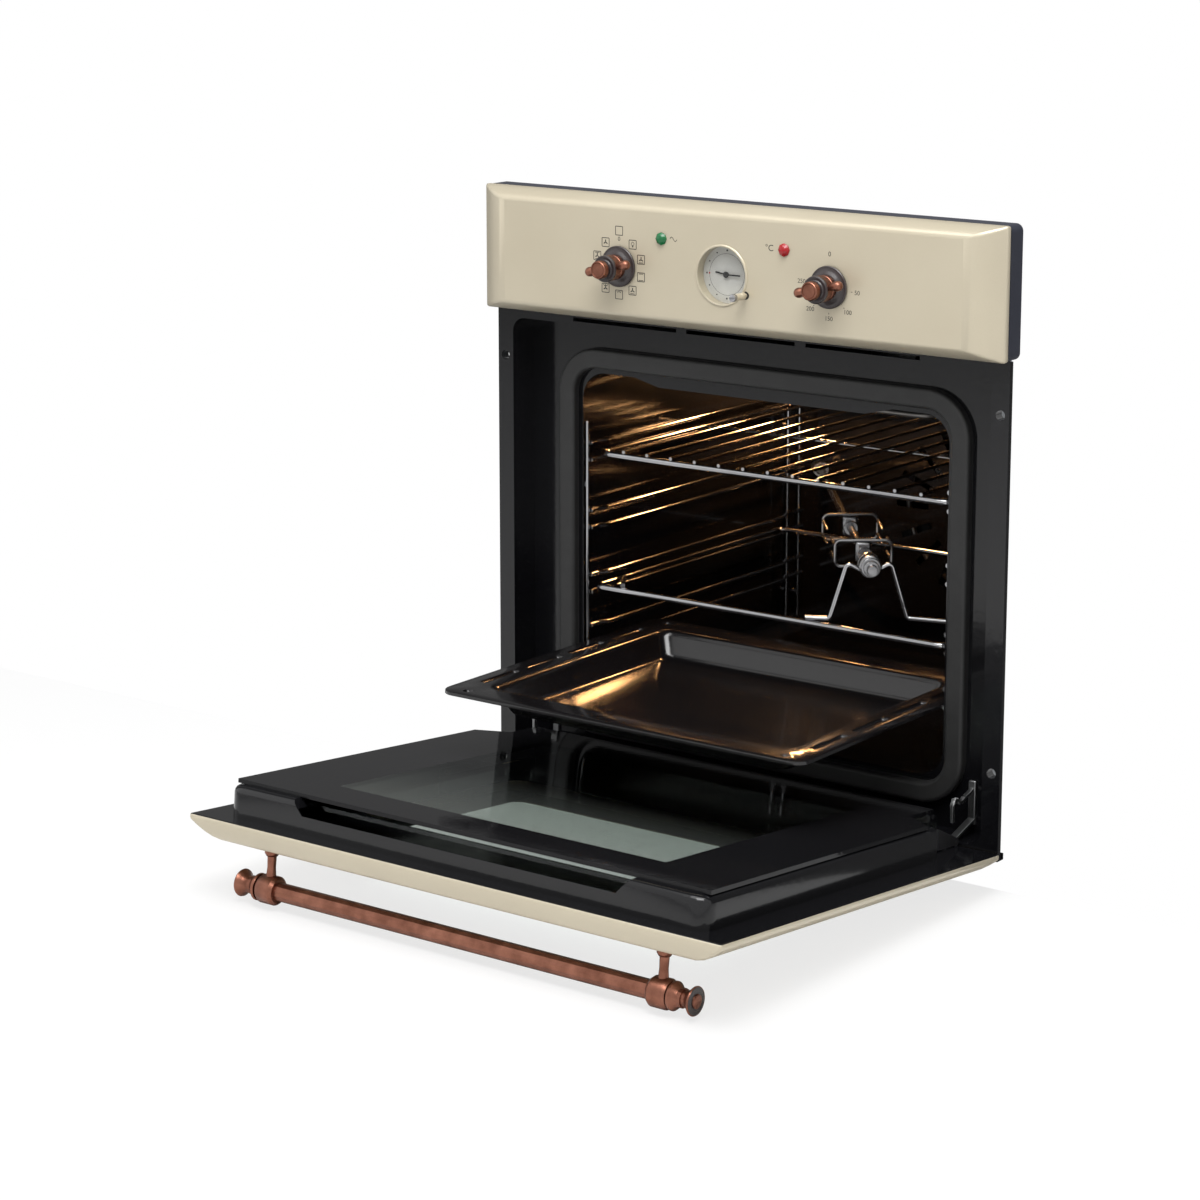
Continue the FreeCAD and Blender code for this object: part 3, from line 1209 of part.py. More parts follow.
def terminal_middle_z():
    """Height of the mains terminals, in the control space."""
    return (JACKET_TOP + CASING_TOP) / 2


def terminal_block():
    """Mains terminals on the inside of the back sheet, with a row of wire holes."""
    z = terminal_middle_z()
    back = CASING_BACK - PANEL_T
    block = box(TERMINAL_X - TERMINAL_W / 2, TERMINAL_X + TERMINAL_W / 2, back - TERMINAL_D, back,
                z - TERMINAL_H / 2, z + TERMINAL_H / 2)
    holes = []
    for step in (-1, 0, 1):
        spot = V(TERMINAL_X + step * TERMINAL_W / 4, back - TERMINAL_D - SHEET, z)
        holes.append(rod(spot, spot + V(0, TERMINAL_D / 2, 0), PEG_R))
    return cut(block, holes)


# Door, built closed

def door_outline(inset, end_s):
    """Outline of the door's inner shell, notched round both hinges and drawn in by an inset."""
    near = HINGE_NOTCH_X - inset
    far = HALF_SHELL - inset
    start = DOOR_BOTTOM + SHELL_START + inset
    notch = DOOR_BOTTOM + HINGE_NOTCH_S + inset
    notch_end = DOOR_BOTTOM + HINGE_NOTCH_END_S + inset
    end = DOOR_BOTTOM + end_s - inset
    return [(-near, start), (near, start), (near, notch), (far, notch_end), (far, end),
            (-far, end), (-far, notch_end), (-near, notch)]


def shell_slab(inset, level, thickness):
    """Slab of the inner shell's outline, drawn in by an inset and rounded at the free corners."""
    notched = slab(door_outline(inset, SHELL_END), "y", level, thickness)
    around = rectangle(HALF_SHELL - inset, DOOR_BOTTOM + SHELL_START + inset,
                       DOOR_BOTTOM + SHELL_END - inset)
    return notched.common(slab(around, "y", level, thickness, SHELL_CORNER - inset))


def window_block(grow, level, thickness):
    """Block of the door's window, grown evenly outward."""
    points = rectangle(WINDOW_W / 2 + grow, DOOR_BOTTOM + WINDOW_S0 - grow,
                       DOOR_BOTTOM + WINDOW_S1 + grow)
    return slab(points, "y", level, thickness, WINDOW_R)


def door_skin():
    """Outer door panel: a pressed sheet with a window and an inward return round its back."""
    solid = pillow(DOOR_BOTTOM, DOOR_TOP, 0, RIM_BACK)
    hollow = pillow(DOOR_BOTTOM, DOOR_TOP, SKIN_T, RIM_BACK + SKIN_T)
    opening = rectangle(HALF_SHELL - SKIN_LAP, DOOR_BOTTOM + SHELL_START + SKIN_LAP,
                        DOOR_BOTTOM + SHELL_END - SKIN_LAP)
    tools = [hollow, slab(opening, "y", -RIM_BACK - SKIN_T * 2, SKIN_T * 3)]
    tools.append(window_block(0, FACE_Y - SKIN_T, SKIN_T * 3))
    for side in (-1, 1):
        half = HINGE_CASE_W / 2 + SLIDE_GAP
        tools.append(box(side * HINGE_X - half, side * HINGE_X + half, -RIM_BACK - SKIN_T * 2, 0,
                         DOOR_BOTTOM + SKIN_T, DOOR_BOTTOM + HINGE_NOTCH_S))
    return cut(solid, tools)


def door_shell():
    """Enamelled inner shell: walls, a backing sheet with the window and a lip for the glass."""
    front = -RIM_BACK
    block = shell_slab(0, front, SHELL_T)
    tools = [shell_slab(SHEET, front + SHEET, SHELL_T - SHEET * 2)]
    tools.append(shell_slab(SHELL_LIP, SHELL_BACK_Y - SHEET * 2, SHEET * 3))
    tools.append(window_block(0, front - SHEET, SHEET * 3))
    end = DOOR_BOTTOM + SHELL_END
    vent_low = front + EDGE_VENT_N0
    vent_high = SHELL_BACK_Y + SHEET
    vent_foot = EDGE_VENT_W / 2 - EDGE_VENT_SLANT
    vent_points = [(-vent_foot, vent_low), (vent_foot, vent_low), (EDGE_VENT_W / 2, vent_high),
                   (-EDGE_VENT_W / 2, vent_high)]
    tools.append(slab(vent_points, "z", end - SHEET * 2, SHEET * 3))
    for side in (-1, 1):
        half = HINGE_CASE_W / 2 + PRESS_GAP
        tools.append(box(side * HINGE_X - half, side * HINGE_X + half, front + SHEET,
                         front + SHEET + HINGE_CASE_DEEP + PRESS_GAP, DOOR_BOTTOM + HINGE_NOTCH_S,
                         DOOR_BOTTOM + HINGE_NOTCH_END_S + SHELL_LIP))
    return cut(block, tools)


def inner_glass():
    """Inner door glass on the shell's lip, notched round the hinges."""
    return slab(door_outline(GLASS_INSET, SHELL_END - GLASS_END_MARGIN), "y", SHELL_BACK_Y, GLASS_T)


def middle_glass():
    """Middle door glass between the shell's side walls, above the hinge cases."""
    half = HALF_SHELL - SHEET - PRESS_GAP
    points = rectangle(half, DOOR_BOTTOM + MIDDLE_GLASS_S0, DOOR_BOTTOM + SHELL_END - MIDDLE_GLASS_END_MARGIN)
    return slab(points, "y", MIDDLE_GLASS_N - RIM_BACK, GLASS_T)


def outer_glass():
    """Window glass on the inside of the outer panel."""
    return window_block(OUTER_GLASS_LAP, FACE_INNER_Y, GLASS_T)


def handle_point(x):
    """Point on the axis of the handle bar."""
    return V(x, HANDLE_Y, HANDLE_Z)


def handle_bar():
    """Faceted bar of the handle."""
    corners = []
    for index in range(HANDLE_FACETS):
        turn = 2 * math.pi * (index + 0.5) / HANDLE_FACETS
        corners.append(handle_point(-HANDLE_END_X) + V(0, math.cos(turn), math.sin(turn)) * HANDLE_R)
    face = Part.Face(Part.makePolygon(corners + corners[:1]))
    return face.extrude(V(2 * HANDLE_END_X, 0, 0))


def handle_ends():
    """Turned end pieces of the handle bar."""
    tip = HANDLE_DISC_T / 2
    flank = HANDLE_DISC_T / 4
    profile = [(flank, HANDLE_R, HANDLE_DISC_R), (flank * 2, HANDLE_DISC_R, HANDLE_DISC_R),
               (flank, HANDLE_DISC_R, HANDLE_TIP_R), (tip, HANDLE_TIP_R, HANDLE_TIP_R / 2)]
    return both_sides(turned(profile, handle_point(HANDLE_END_X), V(1, 0, 0)))


def handle_posts():
    """Two posts on the door's face, each with a ferrule round the bar."""
    axis = handle_point(HANDLE_POST_X)
    seat = V(HANDLE_POST_X, FACE_Y, HANDLE_Z)
    foot = rod(seat, seat - V(0, HANDLE_POST_FOOT_T, 0), HANDLE_POST_FOOT_R)
    post = rod(seat, axis, HANDLE_POST_R)
    reach = V(FERRULE_W / 2, 0, 0)
    ferrule = rod(axis - reach, axis + reach, FERRULE_R)
    bore = rod(axis - reach * 2, axis + reach * 2, HANDLE_R + RUN_FIT)
    return both_sides(fuse([foot, post, ferrule]).cut(bore))


# Hinges

def pivot(x):
    """Point on the door's hinge axis."""
    return V(x, PIVOT_Y, PIVOT_Z)


def hinge_cases():
    """Channel in each lower corner of the door, with ears on the hinge pin."""
    web_y = -RIM_BACK + SHEET
    top = DOOR_BOTTOM + HINGE_CASE_TOP_S
    ear = HINGE_EYE_R + PRESS_GAP
    cheek_points = [(web_y, PIVOT_Z), (web_y, top), (web_y + HINGE_CASE_DEEP, top),
                    (web_y + HINGE_CASE_DEEP, DOOR_BOTTOM + HINGE_NOTCH_S - HINGE_CASE_DEEP),
                    (PIVOT_Y + ear, PIVOT_Z)]
    inner = HINGE_X - HINGE_CASE_W / 2
    outer = HINGE_X + HINGE_CASE_W / 2
    pieces = [box(inner, outer, web_y, web_y + SHEET, PIVOT_Z + HINGE_CASE_DEEP, top)]
    for x in (inner, outer - HINGE_CHEEK_T):
        pieces.append(slab(cheek_points, "x", x, HINGE_CHEEK_T))
        pieces.append(rod(pivot(x), pivot(x + HINGE_CHEEK_T), ear))
    bore = rod(pivot(inner - SHEET), pivot(outer + SHEET), HINGE_PIN_R + RUN_FIT)
    return both_sides(fuse(pieces).cut(bore))


def hinge_pins():
    """Pins through the ears of the cases and the eyes of the arms."""
    half = HINGE_CASE_W / 2
    return both_sides(rod(pivot(HINGE_X - half), pivot(HINGE_X + half), HINGE_PIN_R))


def hinge_arms():
    """Hooked arms that stand out of the recess and carry the hinge pins in their eyes."""
    low = HINGE_SLOT_Z0 + SLIDE_GAP
    high = HINGE_SLOT_Z1 - SLIDE_GAP
    end = LINER_FRONT + RECEIVER_DEPTH - RECEIVER_WALL
    points = [(PIVOT_Y, PIVOT_Z - HINGE_ARM_LOW), (RECESS_DEPTH, low), (end, low), (end, high),
              (RECESS_DEPTH - HINGE_ARM_NOSE, high), (PIVOT_Y, PIVOT_Z + HINGE_EYE_R)]
    start = HINGE_X - HINGE_ARM_W / 2
    arm = slab(points, "x", start, HINGE_ARM_W)
    eye = rod(pivot(start), pivot(start + HINGE_ARM_W), HINGE_EYE_R)
    bore = rod(pivot(start - SHEET), pivot(start + HINGE_ARM_W + SHEET), HINGE_PIN_R + RUN_FIT)
    return both_sides(fuse([arm, eye]).cut(bore))


def hinge_receivers():
    """Sockets behind the recess that hold the hinge arms."""
    half = HINGE_ARM_W / 2
    block = box(HINGE_X - half - RECEIVER_WALL, HINGE_X + half + RECEIVER_WALL, LINER_FRONT,
                LINER_FRONT + RECEIVER_DEPTH, HINGE_SLOT_Z0 - RECEIVER_WALL,
                HINGE_SLOT_Z1 + RECEIVER_WALL)
    pocket = box(HINGE_X - half - RUN_FIT, HINGE_X + half + RUN_FIT, LINER_FRONT - SHEET,
                 LINER_FRONT + RECEIVER_DEPTH - RECEIVER_WALL, HINGE_SLOT_Z0, HINGE_SLOT_Z1)
    return both_sides(block.cut(pocket))


BODY_PIECES = {
    "front_frame": front_frame, "cavity_liner": cavity_liner, "door_gasket": door_gasket,
    "insulation_jacket": insulation_jacket, "side_panels": side_panels, "top_cover": top_cover,
    "base_plate": base_plate, "rear_panel": rear_panel, "casing_screws": casing_screws,
    "fascia": fascia, "fascia_box": fascia_box, "clock_case": clock_case, "clock_dial": clock_dial,
    "clock_lens": clock_lens, "minute_hand": minute_hand, "hour_hand": hour_hand,
    "setting_stem": setting_stem, "rack_ladders": rack_ladders, "wire_rack": wire_rack,
    "rotisserie_frame": rotisserie_frame, "spit": spit, "spit_forks": spit_forks,
    "spit_socket": spit_socket, "rotisserie_motor": rotisserie_motor, "baking_tray": baking_tray,
    "grill_element": grill_element, "bottom_element": bottom_element, "ring_element": ring_element,
    "lamp_holder": lamp_holder, "lamp_bulb": lamp_bulb, "lamp_lens": lamp_lens,
    "fan_cover": fan_cover, "convection_fan": convection_fan, "fan_motor": fan_motor,
    "cooling_fan_housing": cooling_fan_housing, "cooling_fan_rotor": cooling_fan_rotor,
    "cooling_fan_motor": cooling_fan_motor, "terminal_block": terminal_block,
    "hinge_arms": hinge_arms, "hinge_receivers": hinge_receivers,
}

SIDED_PIECES = {
    "selector_switch": (switch_body, -1), "selector_knob_skirt": (knob_skirt, -1),
    "selector_knob_grip": (knob_grip, -1), "selector_knob_cap": (knob_cap, -1),
    "green_pilot": (pilot_lamp, -1), "thermostat": (switch_body, 1),
    "thermostat_knob_skirt": (knob_skirt, 1), "thermostat_knob_grip": (knob_grip, 1),
    "thermostat_knob_cap": (knob_cap, 1), "red_pilot": (pilot_lamp, 1),
}

DOOR_PIECES = {
    "door_skin": door_skin, "door_shell": door_shell, "inner_glass": inner_glass,
    "middle_glass": middle_glass, "outer_glass": outer_glass, "handle_bar": handle_bar,
    "handle_ends": handle_ends, "handle_posts": handle_posts, "hinge_cases": hinge_cases,
    "hinge_pins": hinge_pins,
}


def build():
    """Every piece by name, with the door at its open stop and the origin on the flange's back."""
    pieces = {name: make() for name, make in BODY_PIECES.items()}
    for name, (make, side) in SIDED_PIECES.items():
        pieces[name] = make(side)
    for name, make in DOOR_PIECES.items():
        pieces[name] = make().rotated(pivot(0), V(1, 0, 0), DOOR_OPEN_DEG)
    to_seat = V(0, -SEAT_Y, 0)
    return {name: shape.translated(to_seat) for name, shape in pieces.items()}


def main():
    """Write each piece to its own file."""
    os.makedirs("parts", exist_ok=True)
    for name, shape in build().items():
        shape.exportStep(os.path.join("parts", name + ".step"))


if __name__ == "__main__":
    main()
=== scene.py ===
"""Studio scene of a built-in oven: finishes for its solids and modelled pieces for its front."""
import bpy
import json
import logging
import math
from collections.abc import Callable
from dataclasses import dataclass, field
from enum import Enum
from mathutils import Matrix, Vector


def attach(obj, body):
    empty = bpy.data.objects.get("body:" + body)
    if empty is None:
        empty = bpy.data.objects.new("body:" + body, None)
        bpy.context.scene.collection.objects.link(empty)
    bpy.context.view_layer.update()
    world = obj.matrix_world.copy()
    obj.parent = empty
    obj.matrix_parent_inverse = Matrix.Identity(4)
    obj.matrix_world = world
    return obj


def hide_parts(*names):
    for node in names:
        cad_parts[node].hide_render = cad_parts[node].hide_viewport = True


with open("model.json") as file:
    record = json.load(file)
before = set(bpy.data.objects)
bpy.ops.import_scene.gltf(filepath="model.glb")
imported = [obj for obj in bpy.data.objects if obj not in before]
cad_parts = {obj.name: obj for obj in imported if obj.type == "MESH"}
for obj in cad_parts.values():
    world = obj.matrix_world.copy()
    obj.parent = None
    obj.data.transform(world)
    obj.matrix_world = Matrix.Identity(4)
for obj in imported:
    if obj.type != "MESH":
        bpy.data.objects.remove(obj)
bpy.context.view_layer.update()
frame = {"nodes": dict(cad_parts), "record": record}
log = logging.getLogger("oven")

MM = 0.001
SEAT_DEPTH = 10.9
IMAGE_SIZE = 1200
CRISP_DEG = 35.0
CARVED_CRISP_DEG = 38.0
FACE_Y = -31.4
BACK_Y = -9.5
CLOCK_Z = 523.4
DIAL_Y = -22.4
KNOB_X = 120.0
KNOB_Z = 522.5
HINGE_Y = -5.45
HINGE_Z = 8.1
DOOR_BOTTOM = 3.8
WINDOW_HALF = 190.0
WINDOW_LOW = 105.0
WINDOW_HIGH = 345.0
WINDOW_CORNER = 18.0
Colour = tuple[float, float, float]


def at(x: float, y: float, z: float) -> Vector:
    """Point in metres from millimetres measured at the front of the flange."""
    return Vector((x, y - SEAT_DEPTH, z)) * MM


class Wire:
    """Output of a shader node that takes part in Python arithmetic."""

    def __init__(self, book: "ShaderBook", socket: bpy.types.NodeSocket) -> None:
        """Keeps the node book and the socket."""
        self.book = book
        self.socket = socket

    def _math(self, operation: str, first: object, second: object) -> "Wire":
        """Adds one Math node."""
        return self.book.add("ShaderNodeMath", {"operation": operation}, {0: first, 1: second})

    def __add__(self, other: object) -> "Wire":
        """Sum."""
        return self._math("ADD", self, other)

    def __sub__(self, other: object) -> "Wire":
        """Difference."""
        return self._math("SUBTRACT", self, other)

    def __rsub__(self, other: object) -> "Wire":
        """Reflected difference."""
        return self._math("SUBTRACT", other, self)

    def __mul__(self, other: object) -> "Wire":
        """Product."""
        return self._math("MULTIPLY", self, other)

    def __abs__(self) -> "Wire":
        """Size without sign."""
        return self._math("ABSOLUTE", self, 0.0)

    def over(self, limit: float) -> "Wire":
        """One where the value is above a limit, otherwise zero."""
        return self._math("GREATER_THAN", self, limit)

    def under(self, limit: float) -> "Wire":
        """One where the value is below a limit, otherwise zero."""
        return self._math("LESS_THAN", self, limit)

    def ramp(self, low: float, high: float) -> "Wire":
        """Runs from zero to one between two values, held at both ends."""
        return self.book.add("ShaderNodeMapRange", {}, {"Value": self, "From Min": low, "From Max": high})


class ShaderBook:
    """One material and the nodes that it is made of."""

    def __init__(self, name: str) -> None:
        """Makes an empty node material.

        Args:
            name: The material's name.
        """
        self.material = bpy.data.materials.new(name)
        self.material.use_nodes = True
        self.tree = self.material.node_tree
        self.tree.nodes.clear()
        self.output = self.tree.nodes.new("ShaderNodeOutputMaterial")

    def add(self, kind: str, settings: dict | None = None, inputs: dict | None = None,
            output: int | str = 0) -> Wire:
        """Adds a node, sets it up and fills its sockets.

        Args:
            kind: The node's type.
            settings: Values set on the node itself.
            inputs: Values or wires for its sockets, by name or place.
            output: The socket to hand back.

        Returns:
            The chosen output.
        """
        node = self.tree.nodes.new(kind)
        for key, value in (settings or {}).items():
            setattr(node, key, value)
        for key, value in (inputs or {}).items():
            if isinstance(value, Wire):
                self.tree.links.new(value.socket, node.inputs[key])
            else:
                node.inputs[key].default_value = value
        return Wire(self, node.outputs[output])

    def place(self) -> Wire:
        """Object coordinates, in metres."""
        return self.add("ShaderNodeTexCoord", output="Object")

    def axes(self) -> tuple[Wire, Wire, Wire]:
        """The three object coordinates one by one."""
        split = self.tree.nodes.new("ShaderNodeSeparateXYZ")
        self.tree.links.new(self.place().socket, split.inputs[0])
        return Wire(self, split.outputs[0]), Wire(self, split.outputs[1]), Wire(self, split.outputs[2])

    def noise(self, scale: float, detail: float = 3.0, stretch: Colour = (1.0, 1.0, 1.0)) -> Wire:
        """Cloudy noise from zero to one.

        Args:
            scale: Lumps per metre.
            detail: Number of finer layers.
            stretch: Scale along each axis.

        Returns:
            The noise value.
        """
        spread = self.add("ShaderNodeMapping", {}, {"Vector": self.place(), "Scale": stretch})
        return self.add("ShaderNodeTexNoise", {}, {"Vector": spread, "Scale": scale, "Detail": detail})

    def mix(self, share: Wire | float, first: object, second: object) -> Wire:
        """Colour between two colours."""
        return self.add("ShaderNodeMix", {"data_type": "RGBA"}, {0: share, 6: rgba(first), 7: rgba(second)},
                        output=2)

    def bump(self, height: Wire, depth: float) -> Wire:
        """Surface relief from a height value.

        Args:
            height: Height from zero to one.
            depth: Depth of the relief in metres.

        Returns:
            The bent normal.
        """
        return self.add("ShaderNodeBump", {}, {"Strength": 1.0, "Distance": depth, "Height": height})

    def skin(self, inputs: dict) -> Wire:
        """Principled surface with the given sockets."""
        return self.add("ShaderNodeBsdfPrincipled", {}, inputs)

    def close(self, surface: Wire) -> bpy.types.Material:
        """Joins the surface to the output and hands the material back."""
        self.tree.links.new(surface.socket, self.output.inputs["Surface"])
        return self.material


def rgba(value: object) -> object:
    """Four-part colour from a three-part one, and wires as they are."""
    if isinstance(value, Wire):
        return value
    return (*value, 1.0)


class Finish:
    """A finish, which adds its surface to a node book and becomes a material."""

    name: str

    def body(self, book: ShaderBook) -> Wire:
        """Adds the finish's surface to a book."""
        raise NotImplementedError

    def material(self) -> bpy.types.Material:
        """Builds the material."""
        book = ShaderBook(self.name)
        return book.close(self.body(book))


@dataclass(frozen=True)
class SatinPaint(Finish):
    """Sprayed metal paint with fine metallic specks and a slight ripple."""

    name: str
    colour: Colour
    shade: Colour
    roughness: float = 0.36
    metallic: float = 0.25
    coat: float = 0.25

    def body(self, book: ShaderBook) -> Wire:
        """Adds the paint's surface to a book."""
        flake = book.noise(2600.0, 2.0)
        cloud = book.noise(9.0, 3.0)
        share = cloud.ramp(0.3, 0.75) * 0.45 + flake.ramp(0.45, 0.7) * 0.35
        ripple = book.noise(420.0, 2.0)
        return book.skin({
            "Base Color": book.mix(share, self.colour, self.shade),
            "Roughness": flake * 0.12 + (self.roughness - 0.05),
            "Metallic": self.metallic,
            "Coat Weight": self.coat,
            "Coat Roughness": 0.12,
            "Normal": book.bump(ripple, 0.00006)})


@dataclass(frozen=True)
class GlossEnamel(Finish):
    """Fired enamel: a deep gloss with pale pin specks and a soft ripple."""

    name: str
    colour: Colour
    speck: Colour
    speck_share: float = 0.5
    roughness: float = 0.14
    coat: float = 0.2
    shine: float = 0.32

    def body(self, book: ShaderBook) -> Wire:
        """Adds the enamel's surface to a book."""
        pin = book.add("ShaderNodeTexVoronoi", {}, {"Vector": book.place(), "Scale": 420.0}, "Distance")
        dots = pin.under(0.12) * book.noise(140.0, 2.0).ramp(0.52, 0.62) * self.speck_share
        ripple = book.noise(160.0, 2.0)
        return book.skin({
            "Base Color": book.mix(dots, self.colour, self.speck),
            "Roughness": book.noise(22.0, 4.0) * 0.08 + (self.roughness - 0.04),
            "Specular IOR Level": self.shine,
            "Coat Weight": self.coat,
            "Coat Roughness": 0.05,
            "Normal": book.bump(ripple, 0.00008)})


@dataclass(frozen=True)
class AgedMetal(Finish):
    """Antiqued metal, brushed along one axis and darkened in clouds."""

    name: str
    bright: Colour
    dark: Colour
    brush: Colour = (1.0, 1.0, 1.0)
    roughness: float = 0.34

    def body(self, book: ShaderBook) -> Wire:
        """Adds the finish's surface to a book."""
        cloud = book.noise(70.0, 5.0)
        lines = book.noise(900.0, 3.0, self.brush)
        share = cloud.ramp(0.32, 0.72) * 0.7 + lines * 0.3
        return book.skin({
            "Base Color": book.mix(share, self.dark, self.bright),
            "Metallic": 1.0,
            "Roughness": lines * 0.16 + (self.roughness - 0.06),
            "Normal": book.bump(lines, 0.00004)})


@dataclass(frozen=True)
class BrightMetal(Finish):
    """Plated or rolled metal with faint handling marks."""

    name: str
    colour: Colour
    roughness: float
    brush: Colour = (1.0, 1.0, 1.0)
    grain: float = 500.0
    depth: float = 0.00002

    def body(self, book: ShaderBook) -> Wire:
        """Adds the finish's surface to a book."""
        grain = book.noise(self.grain, 3.0, self.brush)
        cloud = book.noise(30.0, 4.0)
        dim = tuple(part * 0.72 for part in self.colour)
        return book.skin({
            "Base Color": book.mix(cloud.ramp(0.35, 0.75) * 0.6, self.colour, dim),
            "Metallic": 1.0,
            "Roughness": grain * 0.1 + self.roughness,
            "Normal": book.bump(grain, self.depth)})


@dataclass(frozen=True)
class SpangledZinc(Finish):
    """Galvanised sheet with its crystal spangle."""

    name: str
    light: Colour = (0.27, 0.28, 0.29)
    dark: Colour = (0.19, 0.20, 0.21)

    def body(self, book: ShaderBook) -> Wire:
        """Adds the finish's surface to a book."""
        cell = book.add("ShaderNodeTexVoronoi", {}, {"Vector": book.place(), "Scale": 85.0}, "Color")
        tone = book.add("ShaderNodeRGBToBW", {}, {0: cell})
        return book.skin({
            "Base Color": book.mix(tone, self.dark, self.light),
            "Metallic": 1.0,
            "Roughness": tone * 0.2 + 0.42,
            "Normal": book.bump(book.noise(300.0, 2.0), 0.00003)})


@dataclass(frozen=True)
class Moulded(Finish):
    """Moulded plastic, rubber or ceramic with a fine texture."""

    name: str
    colour: Colour
    roughness: float
    grain: float = 1400.0
    depth: float = 0.00005

    def body(self, book: ShaderBook) -> Wire:
        """Adds the finish's surface to a book."""
        grain = book.noise(self.grain, 3.0)
        lift = tuple(min(1.0, part * 1.5 + 0.01) for part in self.colour)
        return book.skin({
            "Base Color": book.mix(book.noise(40.0, 4.0).ramp(0.4, 0.8) * 0.5, self.colour, lift),
            "Roughness": grain * 0.15 + self.roughness,
            "Normal": book.bump(grain, self.depth)})


@dataclass(frozen=True)
class FeltedWool(Finish):
    """Mineral wool batts: yellowed fibres in tufts."""

    name: str

    def body(self, book: ShaderBook) -> Wire:
        """Adds the finish's surface to a book."""
        fibre = book.noise(700.0, 5.0, (1.0, 0.3, 1.0))
        tuft = book.noise(45.0, 4.0)
        return book.skin({
            "Base Color": book.mix(fibre * 0.6 + tuft * 0.4, (0.36, 0.29, 0.16), (0.74, 0.66, 0.46)),
            "Roughness": 0.95,
            "Normal": book.bump(fibre + tuft, 0.0015)})


@dataclass(frozen=True)
class ClearPane(Finish):
    """Clear or tinted glass with faint smears."""

    name: str
    tint: Colour
    roughness: float = 0.02
    glow: float = 0.0

    def body(self, book: ShaderBook) -> Wire:
        """Adds the finish's surface to a book."""
        smear = book.noise(25.0, 4.0).ramp(0.5, 0.9)
        return book.skin({
            "Base Color": book.mix(smear * 0.1, self.tint, tuple(part * 0.85 for part in self.tint)),
            "Roughness": smear * 0.05 + self.roughness,
            "Transmission Weight": 1.0,
            "IOR": 1.45,
            "Emission Color": rgba(self.tint),
            "Emission Strength": self.glow})


@dataclass(frozen=True)
class FloatGlass(Finish):
    """Flat glass pane that lets light straight through and mirrors at a slant."""

    name: str
    tint: Colour
    haze: float = 0.015

    def body(self, book: ShaderBook) -> Wire:
        """Adds the pane's surface to a book."""
        smear = book.noise(18.0, 4.0).ramp(0.45, 0.85)
        clear = book.add("ShaderNodeBsdfTransparent", {}, {"Color": rgba(self.tint)})
        mirror = book.skin({
            "Base Color": book.mix(smear * 0.3, (0.55, 0.58, 0.58), (0.75, 0.76, 0.75)),
            "Metallic": 1.0,
            "Roughness": smear * 0.06 + 0.02})
        front = 1.0 - book.add("ShaderNodeNewGeometry", output="Backfacing")
        slant = book.add("ShaderNodeFresnel", {}, {"IOR": 1.5}) * front
        return book.add("ShaderNodeMixShader", {}, {0: slant + smear * self.haze, 1: clear, 2: mirror})


@dataclass(frozen=True)
class DoorFrameOfReference:
    """Where the door's hinge line lies and how far the door stands open at rest."""

    pivot_y: float = HINGE_Y
    pivot_z: float = HINGE_Z
    open_deg: float = 84.5

    def opening(self) -> Matrix:
        """Turn that takes a closed door's points to their place at rest."""
        hinge = at(0.0, self.pivot_y, self.pivot_z)
        turn = Matrix.Rotation(math.radians(self.open_deg), 4, "X")
        return Matrix.Translation(hinge) @ turn @ Matrix.Translation(-hinge)

    def closed(self, book: ShaderBook) -> tuple[Wire, Wire, Wire]:
        """Coordinates that a point of the open door has when the door is shut.

        Args:
            book: The material that reads them.

        Returns:
            Across, depth and height, in metres.
        """
        across, depth, height = book.axes()
        hinge = at(0.0, self.pivot_y, self.pivot_z)
        cosine = math.cos(math.radians(self.open_deg))
        sine = math.sin(math.radians(self.open_deg))
        back = depth - hinge.y
        up = height - hinge.z
        return across, back * cosine + up * sine + hinge.y, up * cosine - back * sine + hinge.z


BORDER_ENAMEL = GlossEnamel("glass_border", (0.008, 0.008, 0.009), (0.02, 0.02, 0.02), speck_share=0.2,
                            roughness=0.07, coat=0.0, shine=0.2)


@dataclass(frozen=True)
class PrintedGlass(Finish):
    """Door pane with a fired black border round a window, with a painted pale haze that stands in for light
    seen through it and grows towards the door's free edge.
    """

    name: str
    half_width: float
    low: float
    high: float
    tint: Colour
    painted_see_through_tint: Colour = (0.66, 0.71, 0.67)
    painted_see_through_share: float = 0.04
    door: DoorFrameOfReference = DoorFrameOfReference()

    def body(self, book: ShaderBook) -> Wire:
        """Adds the finish's surface to a book."""
        across, _, height = self.door.closed(book)
        inside = abs(across).under(self.half_width * MM)
        inside = inside * height.over(self.low * MM) * height.under(self.high * MM)
        border = BORDER_ENAMEL.body(book)
        clear = FloatGlass(self.name, self.tint).body(book)
        # Painted see-through light: a pale diffuse haze in the window, rising from mid-window to the free
        # edge, stands in for light seen through the panes.
        cloud = book.add("ShaderNodeBsdfDiffuse", {}, {"Color": rgba(self.painted_see_through_tint)})
        share = height.ramp((self.low + self.high) / 2 * MM, self.high * MM) * self.painted_see_through_share
        pane = book.add("ShaderNodeMixShader", {}, {0: share, 1: clear, 2: cloud})
        return book.add("ShaderNodeMixShader", {}, {0: inside, 1: border, 2: pane})


@dataclass(frozen=True)
class TwoSidedSkin(Finish):
    """Door sheet: paint outside, dark ground enamel on the side towards the oven."""

    name: str
    outside: SatinPaint
    inside: GlossEnamel
    edge: float
    door: DoorFrameOfReference = DoorFrameOfReference()

    def body(self, book: ShaderBook) -> Wire:
        """Adds the finish's surface to a book."""
        _, depth, _ = self.door.closed(book)
        back = depth.over((self.edge - SEAT_DEPTH) * MM)
        return book.add("ShaderNodeMixShader", {}, {
            0: back, 1: self.outside.body(book), 2: self.inside.body(book)})


